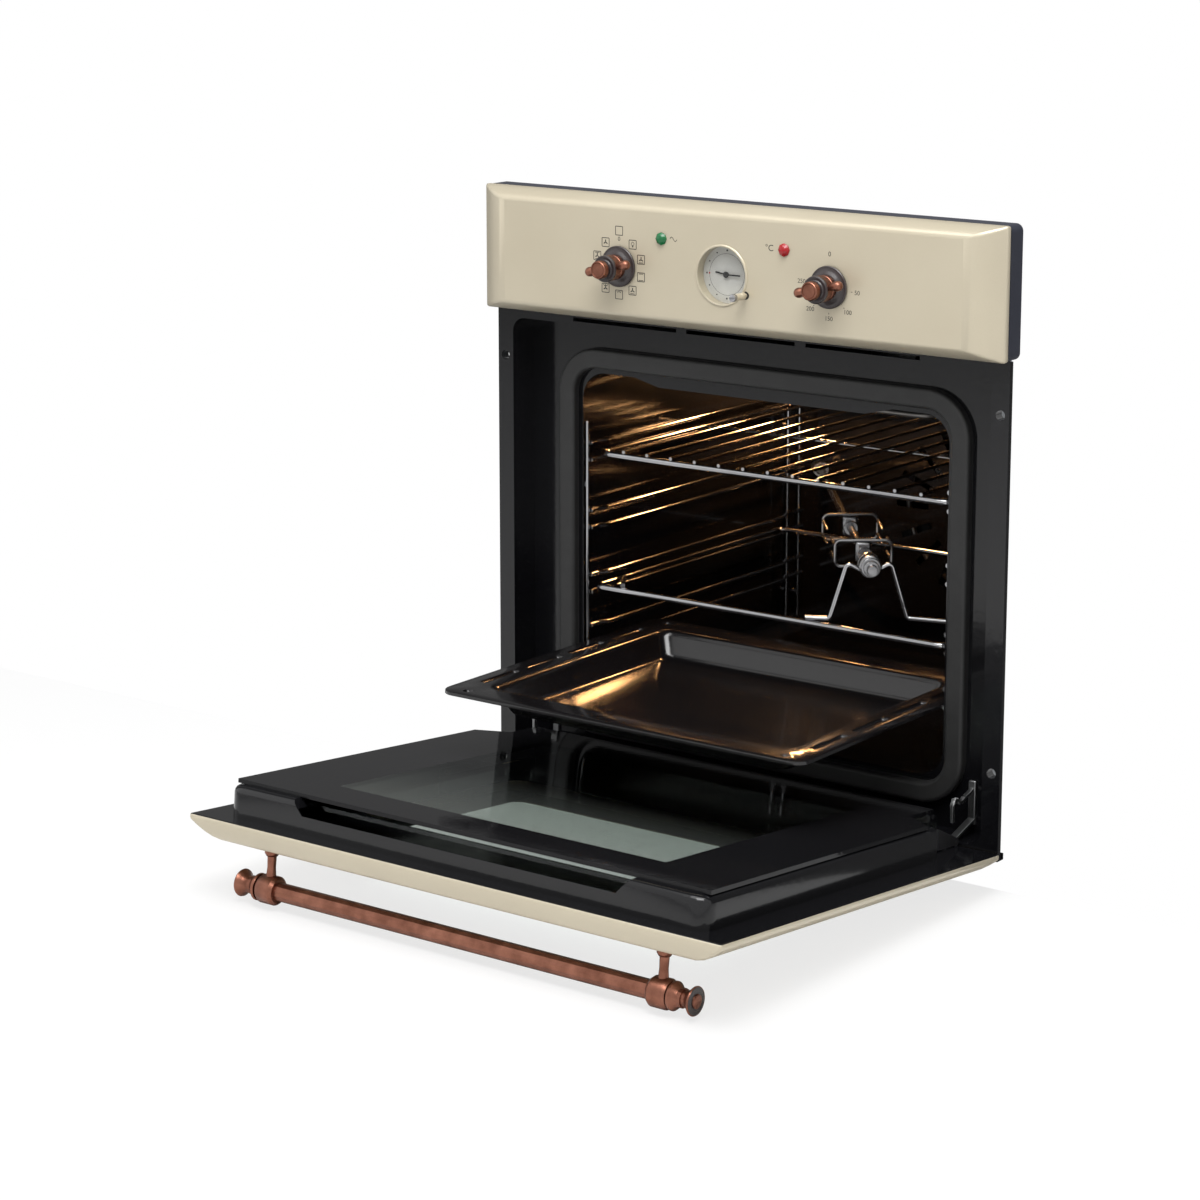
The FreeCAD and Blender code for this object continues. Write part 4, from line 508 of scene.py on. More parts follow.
@dataclass(frozen=True)
class SignalLens(Finish):
    """Moulded signal lens with a faint light of its own and ribs."""

    name: str
    colour: Colour
    glow: float = 0.12

    def body(self, book: ShaderBook) -> Wire:
        """Adds the finish's surface to a book."""
        cloud = book.noise(300.0, 3.0)
        deep = tuple(part * 0.45 for part in self.colour)
        return book.skin({
            "Base Color": book.mix(cloud, self.colour, deep),
            "Roughness": cloud * 0.08 + 0.1,
            "Emission Color": book.mix(cloud, self.colour, deep),
            "Emission Strength": self.glow,
            "Normal": book.bump(cloud, 0.0002)})


class Bench:
    """Modelling steps shared by every piece."""

    @staticmethod
    def clear() -> None:
        """Leaves edit mode and deselects everything."""
        if bpy.context.object and bpy.context.object.mode != "OBJECT":
            bpy.ops.object.mode_set(mode="OBJECT")
        bpy.ops.object.select_all(action="DESELECT")

    @staticmethod
    def pick(piece: bpy.types.Object) -> None:
        """Makes one piece the only selected and active one."""
        Bench.clear()
        piece.select_set(True)
        bpy.context.view_layer.objects.active = piece

    @staticmethod
    def begin(name: str) -> bpy.types.Object:
        """Names the primitive just added and opens it in edit mode."""
        piece = bpy.context.object
        piece.name = name
        bpy.ops.object.mode_set(mode="EDIT")
        bpy.ops.mesh.select_all(action="SELECT")
        return piece

    @staticmethod
    def end(piece: bpy.types.Object, angle: float = CRISP_DEG) -> bpy.types.Object:
        """Turns the faces outwards, leaves edit mode and shades the piece.

        Args:
            piece: The piece in edit mode.
            angle: Edges sharper than this stay crisp, in degrees.

        Returns:
            The same piece.
        """
        bpy.ops.mesh.select_all(action="SELECT")
        bpy.ops.mesh.remove_doubles(threshold=1e-6)
        bpy.ops.mesh.normals_make_consistent(inside=False)
        bpy.ops.object.mode_set(mode="OBJECT")
        bpy.ops.object.shade_smooth_by_angle(angle=math.radians(angle))
        return piece

    @staticmethod
    def choose(piece: bpy.types.Object, test: Callable[[Vector], bool], faces: bool = False) -> None:
        """Selects the edges or faces of a piece in edit mode whose middle passes a test.

        Args:
            piece: The piece in edit mode.
            test: Takes the middle of an edge or face.
            faces: Whether faces are chosen in place of edges.
        """
        bpy.ops.mesh.select_mode(type="FACE" if faces else "EDGE")
        bpy.ops.mesh.select_all(action="DESELECT")
        bpy.ops.object.mode_set(mode="OBJECT")
        mesh = piece.data
        if faces:
            for face in mesh.polygons:
                face.select = test(face.center)
        else:
            for edge in mesh.edges:
                first, last = (mesh.vertices[index].co for index in edge.vertices)
                edge.select = test((first + last) / 2)
        bpy.ops.object.mode_set(mode="EDIT")

    @staticmethod
    def draw(size: tuple[float, float], inward: tuple[float, float], rise: float,
             middle: float = 0.0) -> tuple[float, float]:
        """Lifts the picked face and draws its sides in.

        Args:
            size: The face's width and depth before the step, in millimetres.
            inward: How far each side comes in across the width and the depth.
            rise: How far the face goes up.
            middle: The face's middle along Y.

        Returns:
            The face's width and depth after the step.
        """
        drawn = (size[0] - 2 * inward[0], size[1] - 2 * inward[1])
        bpy.ops.mesh.extrude_region_move(TRANSFORM_OT_translate={"value": (0.0, 0.0, rise * MM)})
        bpy.ops.transform.resize(value=(drawn[0] / size[0], drawn[1] / size[1], 1.0),
                                 center_override=(0.0, middle * MM, 0.0))
        return drawn

    @staticmethod
    def turn(name: str, profile: list[tuple[float, float]], sides: int = 48) -> bpy.types.Object:
        """Turned piece along +Z, drawn out of a disc step by step.

        Args:
            name: The piece's name.
            profile: Height and radius pairs in millimetres, from the bottom up.
            sides: Number of sides.

        Returns:
            The new piece.
        """
        Bench.clear()
        height, radius = profile[0]
        bpy.ops.mesh.primitive_circle_add(vertices=sides, radius=radius * MM, fill_type="NGON",
                                          location=(0.0, 0.0, height * MM))
        bpy.ops.object.transform_apply(location=True, rotation=False, scale=False)
        piece = Bench.begin(name)
        for top, wide in profile[1:]:
            lift = (0.0, 0.0, (top - height) * MM)
            bpy.ops.mesh.extrude_region_move(TRANSFORM_OT_translate={"value": lift})
            grow = wide / radius
            bpy.ops.transform.resize(value=(grow, grow, 1.0), center_override=(0.0, 0.0, top * MM))
            height, radius = top, wide
        return Bench.end(piece)

    @staticmethod
    def block(name: str, low: tuple, high: tuple) -> bpy.types.Object:
        """Box between two corners in millimetres, as a start for other steps."""
        Bench.clear()
        bpy.ops.mesh.primitive_cube_add(size=1.0)
        piece = Bench.begin(name)
        size = tuple((b - a) * MM for a, b in zip(low, high))
        middle = tuple((a + b) / 2 * MM for a, b in zip(low, high))
        bpy.ops.transform.resize(value=size, center_override=(0.0, 0.0, 0.0))
        bpy.ops.transform.translate(value=middle)
        return Bench.end(piece)

    @staticmethod
    def bevel(piece: bpy.types.Object, width: float, segments: int = 3, angle: float = 30.0) -> None:
        """Rounds a piece's edges.

        Args:
            piece: The piece.
            width: Width of the rounding in millimetres.
            segments: Number of faces across it.
            angle: Edges flatter than this stay, in degrees.
        """
        Bench.pick(piece)
        rounding = piece.modifiers.new("rounding", "BEVEL")
        rounding.width = width * MM
        rounding.segments = segments
        rounding.limit_method = "ANGLE"
        rounding.angle_limit = math.radians(angle)
        bpy.ops.object.modifier_apply(modifier=rounding.name)
        bpy.ops.object.shade_smooth_by_angle(angle=math.radians(CRISP_DEG))

    @staticmethod
    def carve(piece: bpy.types.Object, tool: bpy.types.Object, operation: str = "DIFFERENCE") -> None:
        """Cuts a tool out of a piece, or welds it on, and removes the tool.

        Args:
            piece: The piece that stays.
            tool: The piece that is used up.
            operation: DIFFERENCE to cut, UNION to weld.
        """
        Bench.pick(piece)
        step = piece.modifiers.new("carve", "BOOLEAN")
        step.operation = operation
        step.solver = "EXACT"
        step.object = tool
        bpy.ops.object.modifier_apply(modifier=step.name)
        bpy.data.objects.remove(tool)
        bpy.ops.object.shade_smooth_by_angle(angle=math.radians(CARVED_CRISP_DEG))

    @staticmethod
    def place(piece: bpy.types.Object, move: Matrix) -> bpy.types.Object:
        """Sets a piece's mesh down where it belongs."""
        piece.data.transform(move)
        piece.data.update()
        return piece

    @staticmethod
    def copy(piece: bpy.types.Object, name: str, move: Matrix) -> bpy.types.Object:
        """Copies a piece with a mesh of its own and sets the copy down."""
        twin = piece.copy()
        twin.data = piece.data.copy()
        twin.name = name
        bpy.context.scene.collection.objects.link(twin)
        return Bench.place(twin, move)

    @staticmethod
    def join(pieces: list[bpy.types.Object], name: str) -> bpy.types.Object:
        """Makes one piece of several."""
        Bench.clear()
        for piece in pieces:
            piece.select_set(True)
        bpy.context.view_layer.objects.active = pieces[0]
        bpy.ops.object.join()
        pieces[0].name = name
        return pieces[0]


def facing_out(x: float, y: float, z: float) -> Matrix:
    """Turn and move that point a piece's +Z out of the oven's front, with +Y up."""
    return Matrix.Translation(at(x, y, z)) @ Matrix.Rotation(math.radians(90.0), 4, "X")


def finish_piece(piece: bpy.types.Object, material: bpy.types.Material, body: str, slot: str,
                 *nodes: str) -> None:
    """Dresses a piece, hangs it on its body and hides the solids that it stands for.

    Args:
        piece: The modelled piece.
        material: Its finish.
        body: The body that it moves with.
        slot: The record's finish name; not used.
        nodes: The solids that it stands for.
    """
    piece.data.materials.clear()
    piece.data.materials.append(material)
    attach(piece, body)
    if nodes:
        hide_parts(*nodes)
    log.info("piece %s on %s", piece.name, body)


class Slot(Enum):
    """Finish names of the record."""

    CREAM = "cream_enamel"
    BLACK = "black_enamel"
    NAVY = "navy_sheet"
    ZINC = "galvanised"
    RUBBER = "seal_rubber"
    WOOL = "mineral_wool"
    COPPER = "antique_copper"
    BAKELITE = "dark_bakelite"
    CHROME = "chrome_wire"
    STEEL = "bright_steel"
    HEATER = "heater_steel"
    DIAL = "dial_white"
    HAND = "hand_black"
    GLASS = "clear_glass"
    PRINT = "printed_glass"
    GREEN = "green_lens"
    RED = "red_lens"
    PLASTIC = "black_plastic"
    MOTOR = "motor_steel"
    LAMP = "lamp_glass"


CREAM_PAINT = SatinPaint("cream_paint", (0.58, 0.52, 0.395), (0.49, 0.43, 0.315))
BLACK_ENAMEL = GlossEnamel("black_enamel_gloss", (0.005, 0.005, 0.006), (0.08, 0.08, 0.085))
TRAY_ENAMEL = GlossEnamel("tray_enamel_gloss", (0.006, 0.0055, 0.006), (0.05, 0.05, 0.05), speck_share=0.3,
                          roughness=0.17, coat=0.2, shine=0.45)
NODE_FINISHES = {
    "clock_lens": FloatGlass("clock_lens_glass", (0.99, 0.99, 0.985), 0.0),
    "hinge_cases": BrightMetal("hinge_case_zinc", (0.20, 0.20, 0.21), 0.34),
    "hinge_pins": BrightMetal("hinge_pin_steel", (0.30, 0.30, 0.31), 0.3)}


@dataclass
class FinishRack:
    """Every finish of the oven, built once."""

    built: dict[Slot, bpy.types.Material] = field(default_factory=dict)

    def build(self) -> None:
        """Builds the materials."""
        finishes = {
            Slot.CREAM: CREAM_PAINT,
            Slot.BLACK: BLACK_ENAMEL,
            Slot.NAVY: SatinPaint("navy_sheet_paint", (0.030, 0.033, 0.050), (0.045, 0.048, 0.066), 0.4, 0.1),
            Slot.ZINC: SpangledZinc("galvanised_sheet"),
            Slot.RUBBER: Moulded("seal_rubber_black", (0.012, 0.012, 0.012), 0.5),
            Slot.WOOL: FeltedWool("mineral_wool_batt"),
            Slot.COPPER: AgedMetal("antique_copper_metal", (0.33, 0.145, 0.098), (0.14, 0.055, 0.036)),
            Slot.BAKELITE: Moulded("dark_bakelite_gloss", (0.030, 0.022, 0.022), 0.22),
            Slot.CHROME: BrightMetal("chrome_wire_plate", (0.36, 0.36, 0.37), 0.10),
            Slot.STEEL: BrightMetal("bright_steel_sheet", (0.52, 0.52, 0.53), 0.22, (1.0, 0.1, 1.0)),
            Slot.HEATER: BrightMetal("heater_tube_steel", (0.20, 0.19, 0.18), 0.38, grain=900.0),
            Slot.DIAL: Moulded("dial_card", (0.50, 0.50, 0.48), 0.45),
            Slot.HAND: Moulded("hand_black_paint", (0.010, 0.010, 0.010), 0.3),
            Slot.GLASS: FloatGlass("clear_float_glass", (0.94, 0.96, 0.95)),
            Slot.PRINT: PrintedGlass("printed_door_glass", 184.0, 78.8, 383.8, (0.88, 0.91, 0.89)),
            Slot.GREEN: SignalLens("green_signal_lens", (0.005, 0.16, 0.045)),
            Slot.RED: SignalLens("red_signal_lens", (0.42, 0.006, 0.010)),
            Slot.PLASTIC: Moulded("black_moulding", (0.015, 0.015, 0.016), 0.4),
            Slot.MOTOR: BrightMetal("motor_sheet_steel", (0.42, 0.42, 0.43), 0.32),
            Slot.LAMP: ClearPane("lamp_bulb_glass", (1.0, 0.72, 0.42), 0.02, 0.6)}
        for slot, finish in finishes.items():
            self.built[slot] = finish.material()

    def dress_solids(self) -> None:
        """Gives every solid of the frame the finish that its record row names."""
        for row in frame["record"]["subparts"]:
            node = frame["nodes"][row["node"]]
            special = NODE_FINISHES.get(row["node"])
            material = special.material() if special else self.built[Slot(row["material_slot"])]
            if not node.material_slots:
                node.data.materials.append(material)
            for place in node.material_slots:
                place.material = material
            log.info("solid %s wears %s", row["node"], material.name)


@dataclass
class Studio:
    """Floor, white wall, lamps, world and camera."""

    floor_z: float = -36.0
    floor_half: float = 6000.0
    sensor: float = 36.0
    focal_px: float = 3166.047
    eye: tuple[float, float, float] = (1676.866, -2475.053, 931.69)
    azimuth_deg: float = 36.675
    pitch_deg: float = 11.544
    shift_y: float = -0.1
    level: float = 0.52
    wall_y: float = 11.2
    wall_reach: float = 3000.0
    wall_dim: float = 0.16
    floor_lift: float = 0.76
    opening_half: float = 289.0
    opening_low: float = -4.0
    opening_high: float = 580.0
    lamp_rows: tuple[tuple[str, Colour, float, float], ...] = (
        ("key_light", (900.0, -1450.0, 2900.0), 1.8, 72.0),
        ("fill_light", (-2300.0, -1700.0, 1300.0), 2.0, 4.0),
        ("top_light", (0.0, -700.0, 2600.0), 2.2, 42.0))
    lamp_aim: Colour = (0.0, -150.0, 250.0)
    bulb_spot: Colour = (-122.0, 330.0, 380.0)
    bulb_power: float = 2.6
    bulb_colour: Colour = (1.0, 0.50, 0.19)
    bulb_size: float = 0.02
    sky_share: float = 0.55
    floor_colour: Colour = (0.88, 0.88, 0.88)

    def ground(self, name: str, colour: Colour) -> bpy.types.Material:
        """Pale matt ground with a faint mottle.

        Args:
            name: The material's name.
            colour: Its colour.

        Returns:
            The material.
        """
        book = ShaderBook(name)
        mottle = book.noise(3.0, 2.0)
        dim = tuple(part * 0.97 for part in colour)
        matt = book.add("ShaderNodeBsdfDiffuse", {}, {"Color": book.mix(mottle * 0.3, colour, dim)})
        seen = book.add("ShaderNodeLightPath", output="Is Camera Ray")
        white = book.add("ShaderNodeEmission", {}, {"Color": rgba((1.0, 1.0, 1.0))})
        return book.close(book.add("ShaderNodeMixShader", {}, {0: seen * self.floor_lift, 1: matt, 2: white}))

    def screen(self, name: str) -> bpy.types.Material:
        """White screen that shows to the camera and, dimly, in reflections, and only from its front."""
        book = ShaderBook(name)
        seen = book.add("ShaderNodeLightPath", output="Is Camera Ray")
        mirrored = book.add("ShaderNodeLightPath", output="Is Glossy Ray")
        front = 1.0 - book.add("ShaderNodeNewGeometry", output="Backfacing")
        white = book.add("ShaderNodeEmission", {}, {"Color": rgba((1.0, 1.0, 1.0))})
        dim = book.add("ShaderNodeEmission", {}, {"Color": rgba((self.wall_dim,) * 3)})
        nothing = book.add("ShaderNodeBsdfTransparent", {}, {"Color": rgba((1.0, 1.0, 1.0))})
        shown = book.add("ShaderNodeMixShader", {}, {0: mirrored * front, 1: nothing, 2: dim})
        return book.close(book.add("ShaderNodeMixShader", {}, {0: seen * front, 1: shown, 2: white}))

    def floor(self) -> None:
        """Adds the pale floor."""
        Bench.clear()
        level = (0.0, 0.0, self.floor_z * MM)
        bpy.ops.mesh.primitive_plane_add(size=2 * self.floor_half * MM, location=level)
        bpy.ops.object.transform_apply(location=True, rotation=False, scale=False)
        floor = bpy.context.object
        floor.name = "studio_floor"
        floor.data.materials.append(self.ground("studio_floor_pale", self.floor_colour))

    def wall(self) -> None:
        """Adds the white wall that the oven is let into, grown outwards from the edges of its opening."""
        half, low, high = self.opening_half * MM, self.opening_low * MM, self.opening_high * MM
        middle = (low + high) / 2
        Bench.clear()
        bpy.ops.mesh.primitive_plane_add(size=1.0)
        wall = Bench.begin("studio_wall")
        bpy.ops.transform.resize(value=(2 * half, high - low, 1.0), center_override=(0.0, 0.0, 0.0))
        bpy.ops.transform.translate(value=(0.0, middle, 0.0))
        reach = self.wall_reach * MM
        grow = [((reach, 0.0, 0.0), lambda p: p.x > half - 1e-4),
                ((-reach, 0.0, 0.0), lambda p: p.x < 1e-4 - half),
                ((0.0, reach, 0.0), lambda p: p.y > high - 1e-4),
                ((0.0, self.floor_z * MM - low, 0.0), lambda p: p.y < low + 1e-4)]
        for move, test in grow:
            Bench.choose(wall, test)
            bpy.ops.mesh.extrude_region_move(TRANSFORM_OT_translate={"value": move})
        Bench.choose(wall, lambda p: abs(p.x) < half and low < p.y < high, True)
        bpy.ops.mesh.delete(type="FACE")
        Bench.end(wall)
        Bench.place(wall, facing_out(0.0, self.wall_y, 0.0))
        wall.data.materials.append(self.screen("studio_wall_white"))

    def world(self) -> None:
        """Sets an even sky that is white to the camera and in reflections."""
        sky = bpy.data.worlds.new("studio_sky")
        bpy.context.scene.world = sky
        sky.use_nodes = True
        nodes = sky.node_tree.nodes
        links = sky.node_tree.links
        nodes.clear()
        path = nodes.new("ShaderNodeLightPath")
        shown = path.outputs["Is Camera Ray"]
        for ray in ("Is Transmission Ray", "Is Glossy Ray"):
            either = nodes.new("ShaderNodeMath")
            either.operation = "MAXIMUM"
            links.new(shown, either.inputs[0])
            links.new(path.outputs[ray], either.inputs[1])
            shown = either.outputs[0]
        strength = nodes.new("ShaderNodeMapRange")
        strength.inputs["To Min"].default_value = self.level * self.sky_share
        strength.inputs["To Max"].default_value = 1.0
        links.new(shown, strength.inputs["Value"])
        ground = nodes.new("ShaderNodeBackground")
        ground.inputs["Color"].default_value = (1.0, 1.0, 1.0, 1.0)
        links.new(strength.outputs["Result"], ground.inputs["Strength"])
        output = nodes.new("ShaderNodeOutputWorld")
        links.new(ground.outputs[0], output.inputs["Surface"])

    def lamp(self, name: str, place: Vector, aim: Vector, size: float, power: float) -> None:
        """Adds one soft white lamp aimed at a point.

        Args:
            name: The lamp's name.
            place: Where it hangs.
            aim: The point that it faces.
            size: Its width in metres.
            power: Its power in watts.
        """
        light = bpy.data.lights.new(name, "AREA")
        light.energy = power
        light.size = size
        lamp = bpy.data.objects.new(name, light)
        lamp.location = place
        lamp.rotation_euler = (aim - place).to_track_quat("-Z", "Y").to_euler()
        bpy.context.scene.collection.objects.link(lamp)

    def lamps(self) -> None:
        """Adds the studio lamps and the warm lamp in the cavity."""
        for name, spot, size, power in self.lamp_rows:
            self.lamp(name, at(*spot), at(*self.lamp_aim), size, power)
        glow = bpy.data.lights.new("cavity_lamp", "POINT")
        glow.energy = self.bulb_power
        glow.shadow_soft_size = self.bulb_size
        glow.color = self.bulb_colour
        bulb = bpy.data.objects.new("cavity_lamp", glow)
        bulb.location = at(*self.bulb_spot)
        bpy.context.scene.collection.objects.link(bulb)

    def camera(self) -> None:
        """Adds the camera of the photograph."""
        view = bpy.data.cameras.new("photo_view")
        view.sensor_fit = "HORIZONTAL"
        view.sensor_width = self.sensor
        view.lens = self.focal_px * self.sensor / IMAGE_SIZE
        view.shift_y = self.shift_y
        view.clip_end = 50.0
        eye = bpy.data.objects.new("photo_view", view)
        azimuth = math.radians(self.azimuth_deg)
        pitch = math.radians(self.pitch_deg)
        level = math.cos(pitch)
        ahead = Vector((-math.sin(azimuth) * level, math.cos(azimuth) * level, -math.sin(pitch)))
        eye.location = at(*self.eye)
        eye.rotation_euler = ahead.to_track_quat("-Z", "Y").to_euler()
        bpy.context.scene.collection.objects.link(eye)
        bpy.context.scene.camera = eye

    def build(self) -> None:
        """Sets the stage."""
        bpy.context.scene.view_settings.view_transform = "Standard"
        self.floor()
        self.wall()
        self.world()
        self.lamps()
        self.camera()


@dataclass
class PressedPanel:
    """Pressed front sheet: a narrow rim, convex sloping sides and a flat face."""

    width: float = 595.0
    height: float = 123.8
    rim: float = 5.0
    rise: float = 16.9
    side_slope: float = 36.4
    end_slope: float = 12.0
    bulge: tuple[float, ...] = (0.0, 0.34, 0.62, 0.83, 0.95, 1.0)
    flat_margin: float = 0.8
    edge_round: float = 2.2
    round_above_deg: float = 40.0

    def shape(self, name: str) -> bpy.types.Object:
        """Draws the panel out of a plane, lying flat with its face up.

        Args:
            name: The piece's name.

        Returns:
            The new piece.
        """
        Bench.clear()
        bpy.ops.mesh.primitive_plane_add(size=1.0)
        piece = Bench.begin(name)
        scale = (self.width * MM, self.height * MM, 1.0)
        bpy.ops.transform.resize(value=scale, center_override=(0.0, 0.0, 0.0))
        size = Bench.draw((self.width, self.height), (0.0, 0.0), self.rim)
        steps = len(self.bulge) - 1
        inward = (self.side_slope / steps, self.end_slope / steps)
        for before, after in zip(self.bulge, self.bulge[1:]):
            size = Bench.draw(size, inward, self.rise * (after - before))
        Bench.draw(size, (self.flat_margin, self.flat_margin), 0.0)
        Bench.end(piece)
        Bench.bevel(piece, self.edge_round, 3, self.round_above_deg)
        return piece


@dataclass
class Fascia:
    """Control panel with its clock opening."""

    middle_z: float = 528.1
    back_y: float = BACK_Y
    clock_z: float = CLOCK_Z
    clock_r: float = 28.8
    panel: PressedPanel = field(default_factory=PressedPanel)

    def build(self, rack: FinishRack) -> None:
        """Models the panel and cuts the clock's hole."""
        sheet = self.panel.shape("fascia_sheet")
        hole = Bench.turn("clock_hole", [(-5.0, self.clock_r), (40.0, self.clock_r)], 64)
        Bench.place(hole, Matrix.Translation((0.0, (self.clock_z - self.middle_z) * MM, 0.0)))
        Bench.carve(sheet, hole)
        Bench.place(sheet, facing_out(0.0, self.back_y, self.middle_z))
        finish_piece(sheet, rack.built[Slot.CREAM], "oven_body", Slot.CREAM.value, "fascia")


@dataclass
class ControlKnob:
    """Knob with a dished skirt, a turned grip, two drop-shaped arms and a spun cap."""

    prefix: str
    body: str
    x: float
    z: float = KNOB_Z
    face_y: float = FACE_Y
    tilt_deg: float = 13.0
    arm_height: float = 18.6

    def turned(self, part: str, profile: list[tuple[float, float]]) -> bpy.types.Object:
        """Turned part of the knob, standing on the fascia.

        Args:
            part: The part's name.
            profile: Height and radius pairs in millimetres, from the fascia out.

        Returns:
            The new piece.
        """
        piece = Bench.turn(f"{self.prefix}_{part}", profile, 64)
        return Bench.place(piece, facing_out(self.x, self.face_y, self.z))

    def arm(self, name: str) -> bpy.types.Object:
        """Drop-shaped arm along +Z, thin at the grip and round at its end."""
        return Bench.turn(name, [(0.0, 3.4), (11.0, 3.4), (13.0, 3.1), (15.5, 3.6), (18.5, 4.5), (21.0, 4.9),
                                 (23.5, 4.5), (25.3, 3.3), (26.2, 1.4), (26.4, 0.3)], 24)

    def build(self, rack: FinishRack) -> None:
        """Models and dresses the knob's four pieces."""
        skirt = self.turned("skirt", [
            (0.3, 19.2), (1.2, 20.0), (2.4, 20.0), (3.2, 19.3), (3.0, 18.0), (4.2, 15.0), (6.2, 13.2),
            (6.6, 12.0), (6.6, 4.0)])
        finish_piece(skirt, rack.built[Slot.BAKELITE], self.body, Slot.BAKELITE.value, f"{self.prefix}_skirt")
        barrel = self.turned("grip", [
            (6.4, 11.6), (7.2, 12.3), (11.5, 12.3), (12.0, 11.7), (12.6, 11.7), (13.2, 12.5), (19.0, 12.5),
            (21.4, 12.7), (21.6, 12.2), (21.6, 4.0)])
        first = self.arm("first_arm")
        spread = Matrix.Translation(at(self.x, self.face_y - self.arm_height, self.z))
        across = Matrix.Rotation(math.radians(90.0), 4, "Y")
        lean = Matrix.Rotation(math.radians(-self.tilt_deg), 4, "Y") @ across
        away = Matrix.Rotation(math.radians(180.0 - self.tilt_deg), 4, "Y") @ across
        second = Bench.copy(first, "second_arm", spread @ away)
        Bench.place(first, spread @ lean)
        grip = Bench.join([barrel, first, second], f"{self.prefix}_grip_arms")
        finish_piece(grip, rack.built[Slot.COPPER], self.body, Slot.COPPER.value, f"{self.prefix}_grip")
        collar = self.turned("collar", [
            (21.6, 12.2), (21.8, 12.9), (22.6, 13.2), (24.0, 12.9), (24.6, 12.0), (24.4, 9.4), (25.2, 8.4),
            (28.4, 8.2), (28.8, 7.0)])
        finish_piece(collar, rack.built[Slot.BAKELITE], self.body, Slot.BAKELITE.value)
        cap = self.turned("cap", [
            (28.6, 8.0), (29.0, 8.9), (33.4, 8.9), (34.4, 8.5), (34.8, 7.9), (34.7, 7.3), (34.0, 6.9),
            (34.0, 6.5), (34.4, 6.2), (34.1, 3.4), (34.6, 0.8), (34.6, 0.2)])
        finish_piece(cap, rack.built[Slot.COPPER], self.body, Slot.COPPER.value, f"{self.prefix}_cap")


@dataclass
class DoorHandle:
    """Slim posts, barrel ferrules and trumpet ends of the door's handle."""

    bar_y: float = -72.3
    bar_z: float = 430.8
    post_x: float = 221.0
    face_y: float = FACE_Y
    door: DoorFrameOfReference = DoorFrameOfReference()

    def along(self, x: float, side: int) -> Matrix:
        """Turns a piece's +Z to point outwards along the bar at the open door."""
        turn = Matrix.Rotation(math.radians(90.0 * side), 4, "Y")
        return self.door.opening() @ Matrix.Translation(at(x * side, self.bar_y, self.bar_z)) @ turn

    def build(self, rack: FinishRack) -> None:
        """Models and dresses posts, ferrules and ends."""
        copper = rack.built[Slot.COPPER]
        posts, ends, rings = [], [], []
        for side in (-1, 1):
            tag = "left" if side < 0 else "right"
            post = Bench.turn(f"post_{tag}", [
                (0.0, 7.0), (6.5, 7.0), (9.2, 5.2), (9.6, 4.3), (20.0, 4.0), (27.5, 4.6), (32.0, 5.4),
                (36.0, 5.6)])
            Bench.place(post, self.door.opening() @ facing_out(self.post_x * side, self.face_y, self.bar_z))
            ferrule = Bench.turn(f"ferrule_{tag}", [
                (-11.0, 9.2), (-10.6, 11.2), (-7.5, 13.6), (7.0, 13.6), (9.6, 11.9), (10.2, 9.4),
                (11.2, 9.4)])
            Bench.place(ferrule, self.along(self.post_x, side))
            posts += [post, ferrule]
            end = Bench.turn(f"end_{tag}", [
                (11.0, 9.4), (11.2, 12.4), (12.0, 12.8), (13.8, 12.8), (14.8, 12.0), (17.6, 9.4), (21.0, 7.7),
                (24.5, 7.4), (27.6, 8.3), (30.4, 10.4), (32.6, 12.7), (33.6, 13.0), (34.4, 12.6), (34.4, 6.6),
                (35.8, 6.4), (36.3, 5.6), (36.4, 0.4)])
            Bench.place(end, self.along(self.post_x, side))
            ends.append(end)
            ring = Bench.turn(f"ring_{tag}", [(34.3, 12.2), (34.6, 12.1), (34.7, 11.6), (34.7, 6.9)])
            Bench.place(ring, self.along(self.post_x, side))
            rings.append(ring)
        post_pair = Bench.join(posts, "handle_posts_turned")
        finish_piece(post_pair, copper, "door", Slot.COPPER.value, "handle_posts")
        end_pair = Bench.join(ends, "handle_ends_turned")
        finish_piece(end_pair, copper, "door", Slot.COPPER.value, "handle_ends")
        ring_pair = Bench.join(rings, "handle_end_rings")
        finish_piece(ring_pair, rack.built[Slot.BAKELITE], "door", Slot.BAKELITE.value)


@dataclass
class DoorLeaf:
    """Painted outer skin of the open door, hollow at its back, with its window."""

    bottom: float = DOOR_BOTTOM
    height: float = 458.4
    back_y: float = BACK_Y
    window_half: float = WINDOW_HALF
    window_low: float = WINDOW_LOW
    window_high: float = WINDOW_HIGH
    window_corner: float = WINDOW_CORNER
    hollow_half: float = 246.0
    hollow: tuple[float, float] = (30.0, 425.0)
    hollow_corner: float = 6.0
    sheet: float = 1.2
    paint_edge: float = 0.7
    door: DoorFrameOfReference = DoorFrameOfReference()

    def build(self, rack: FinishRack) -> None:
        """Models the skin, hollows its back and cuts its window."""
        panel = PressedPanel(height=self.height)
        skin = panel.shape("door_skin_sheet")
        centre = self.height / 2
        hole = Bench.block("window_hole", (-self.window_half, self.window_low - centre, -40.0),
                           (self.window_half, self.window_high - centre, 80.0))
        Bench.bevel(hole, self.window_corner, 8)
        back = Bench.block("skin_hollow", (-self.hollow_half, self.hollow[0] - centre, -20.0),
                           (self.hollow_half, self.hollow[1] - centre, panel.rim + panel.rise - self.sheet))
        Bench.bevel(back, self.hollow_corner, 4)
        Bench.carve(skin, back)
        Bench.carve(skin, hole)
        Bench.place(skin, self.door.opening() @ facing_out(0.0, self.back_y, self.bottom + centre))
        paint = TwoSidedSkin("door_skin_paint", CREAM_PAINT, BLACK_ENAMEL, self.back_y - self.paint_edge)
        finish_piece(skin, paint.material(), "door", Slot.CREAM.value, "door_skin")


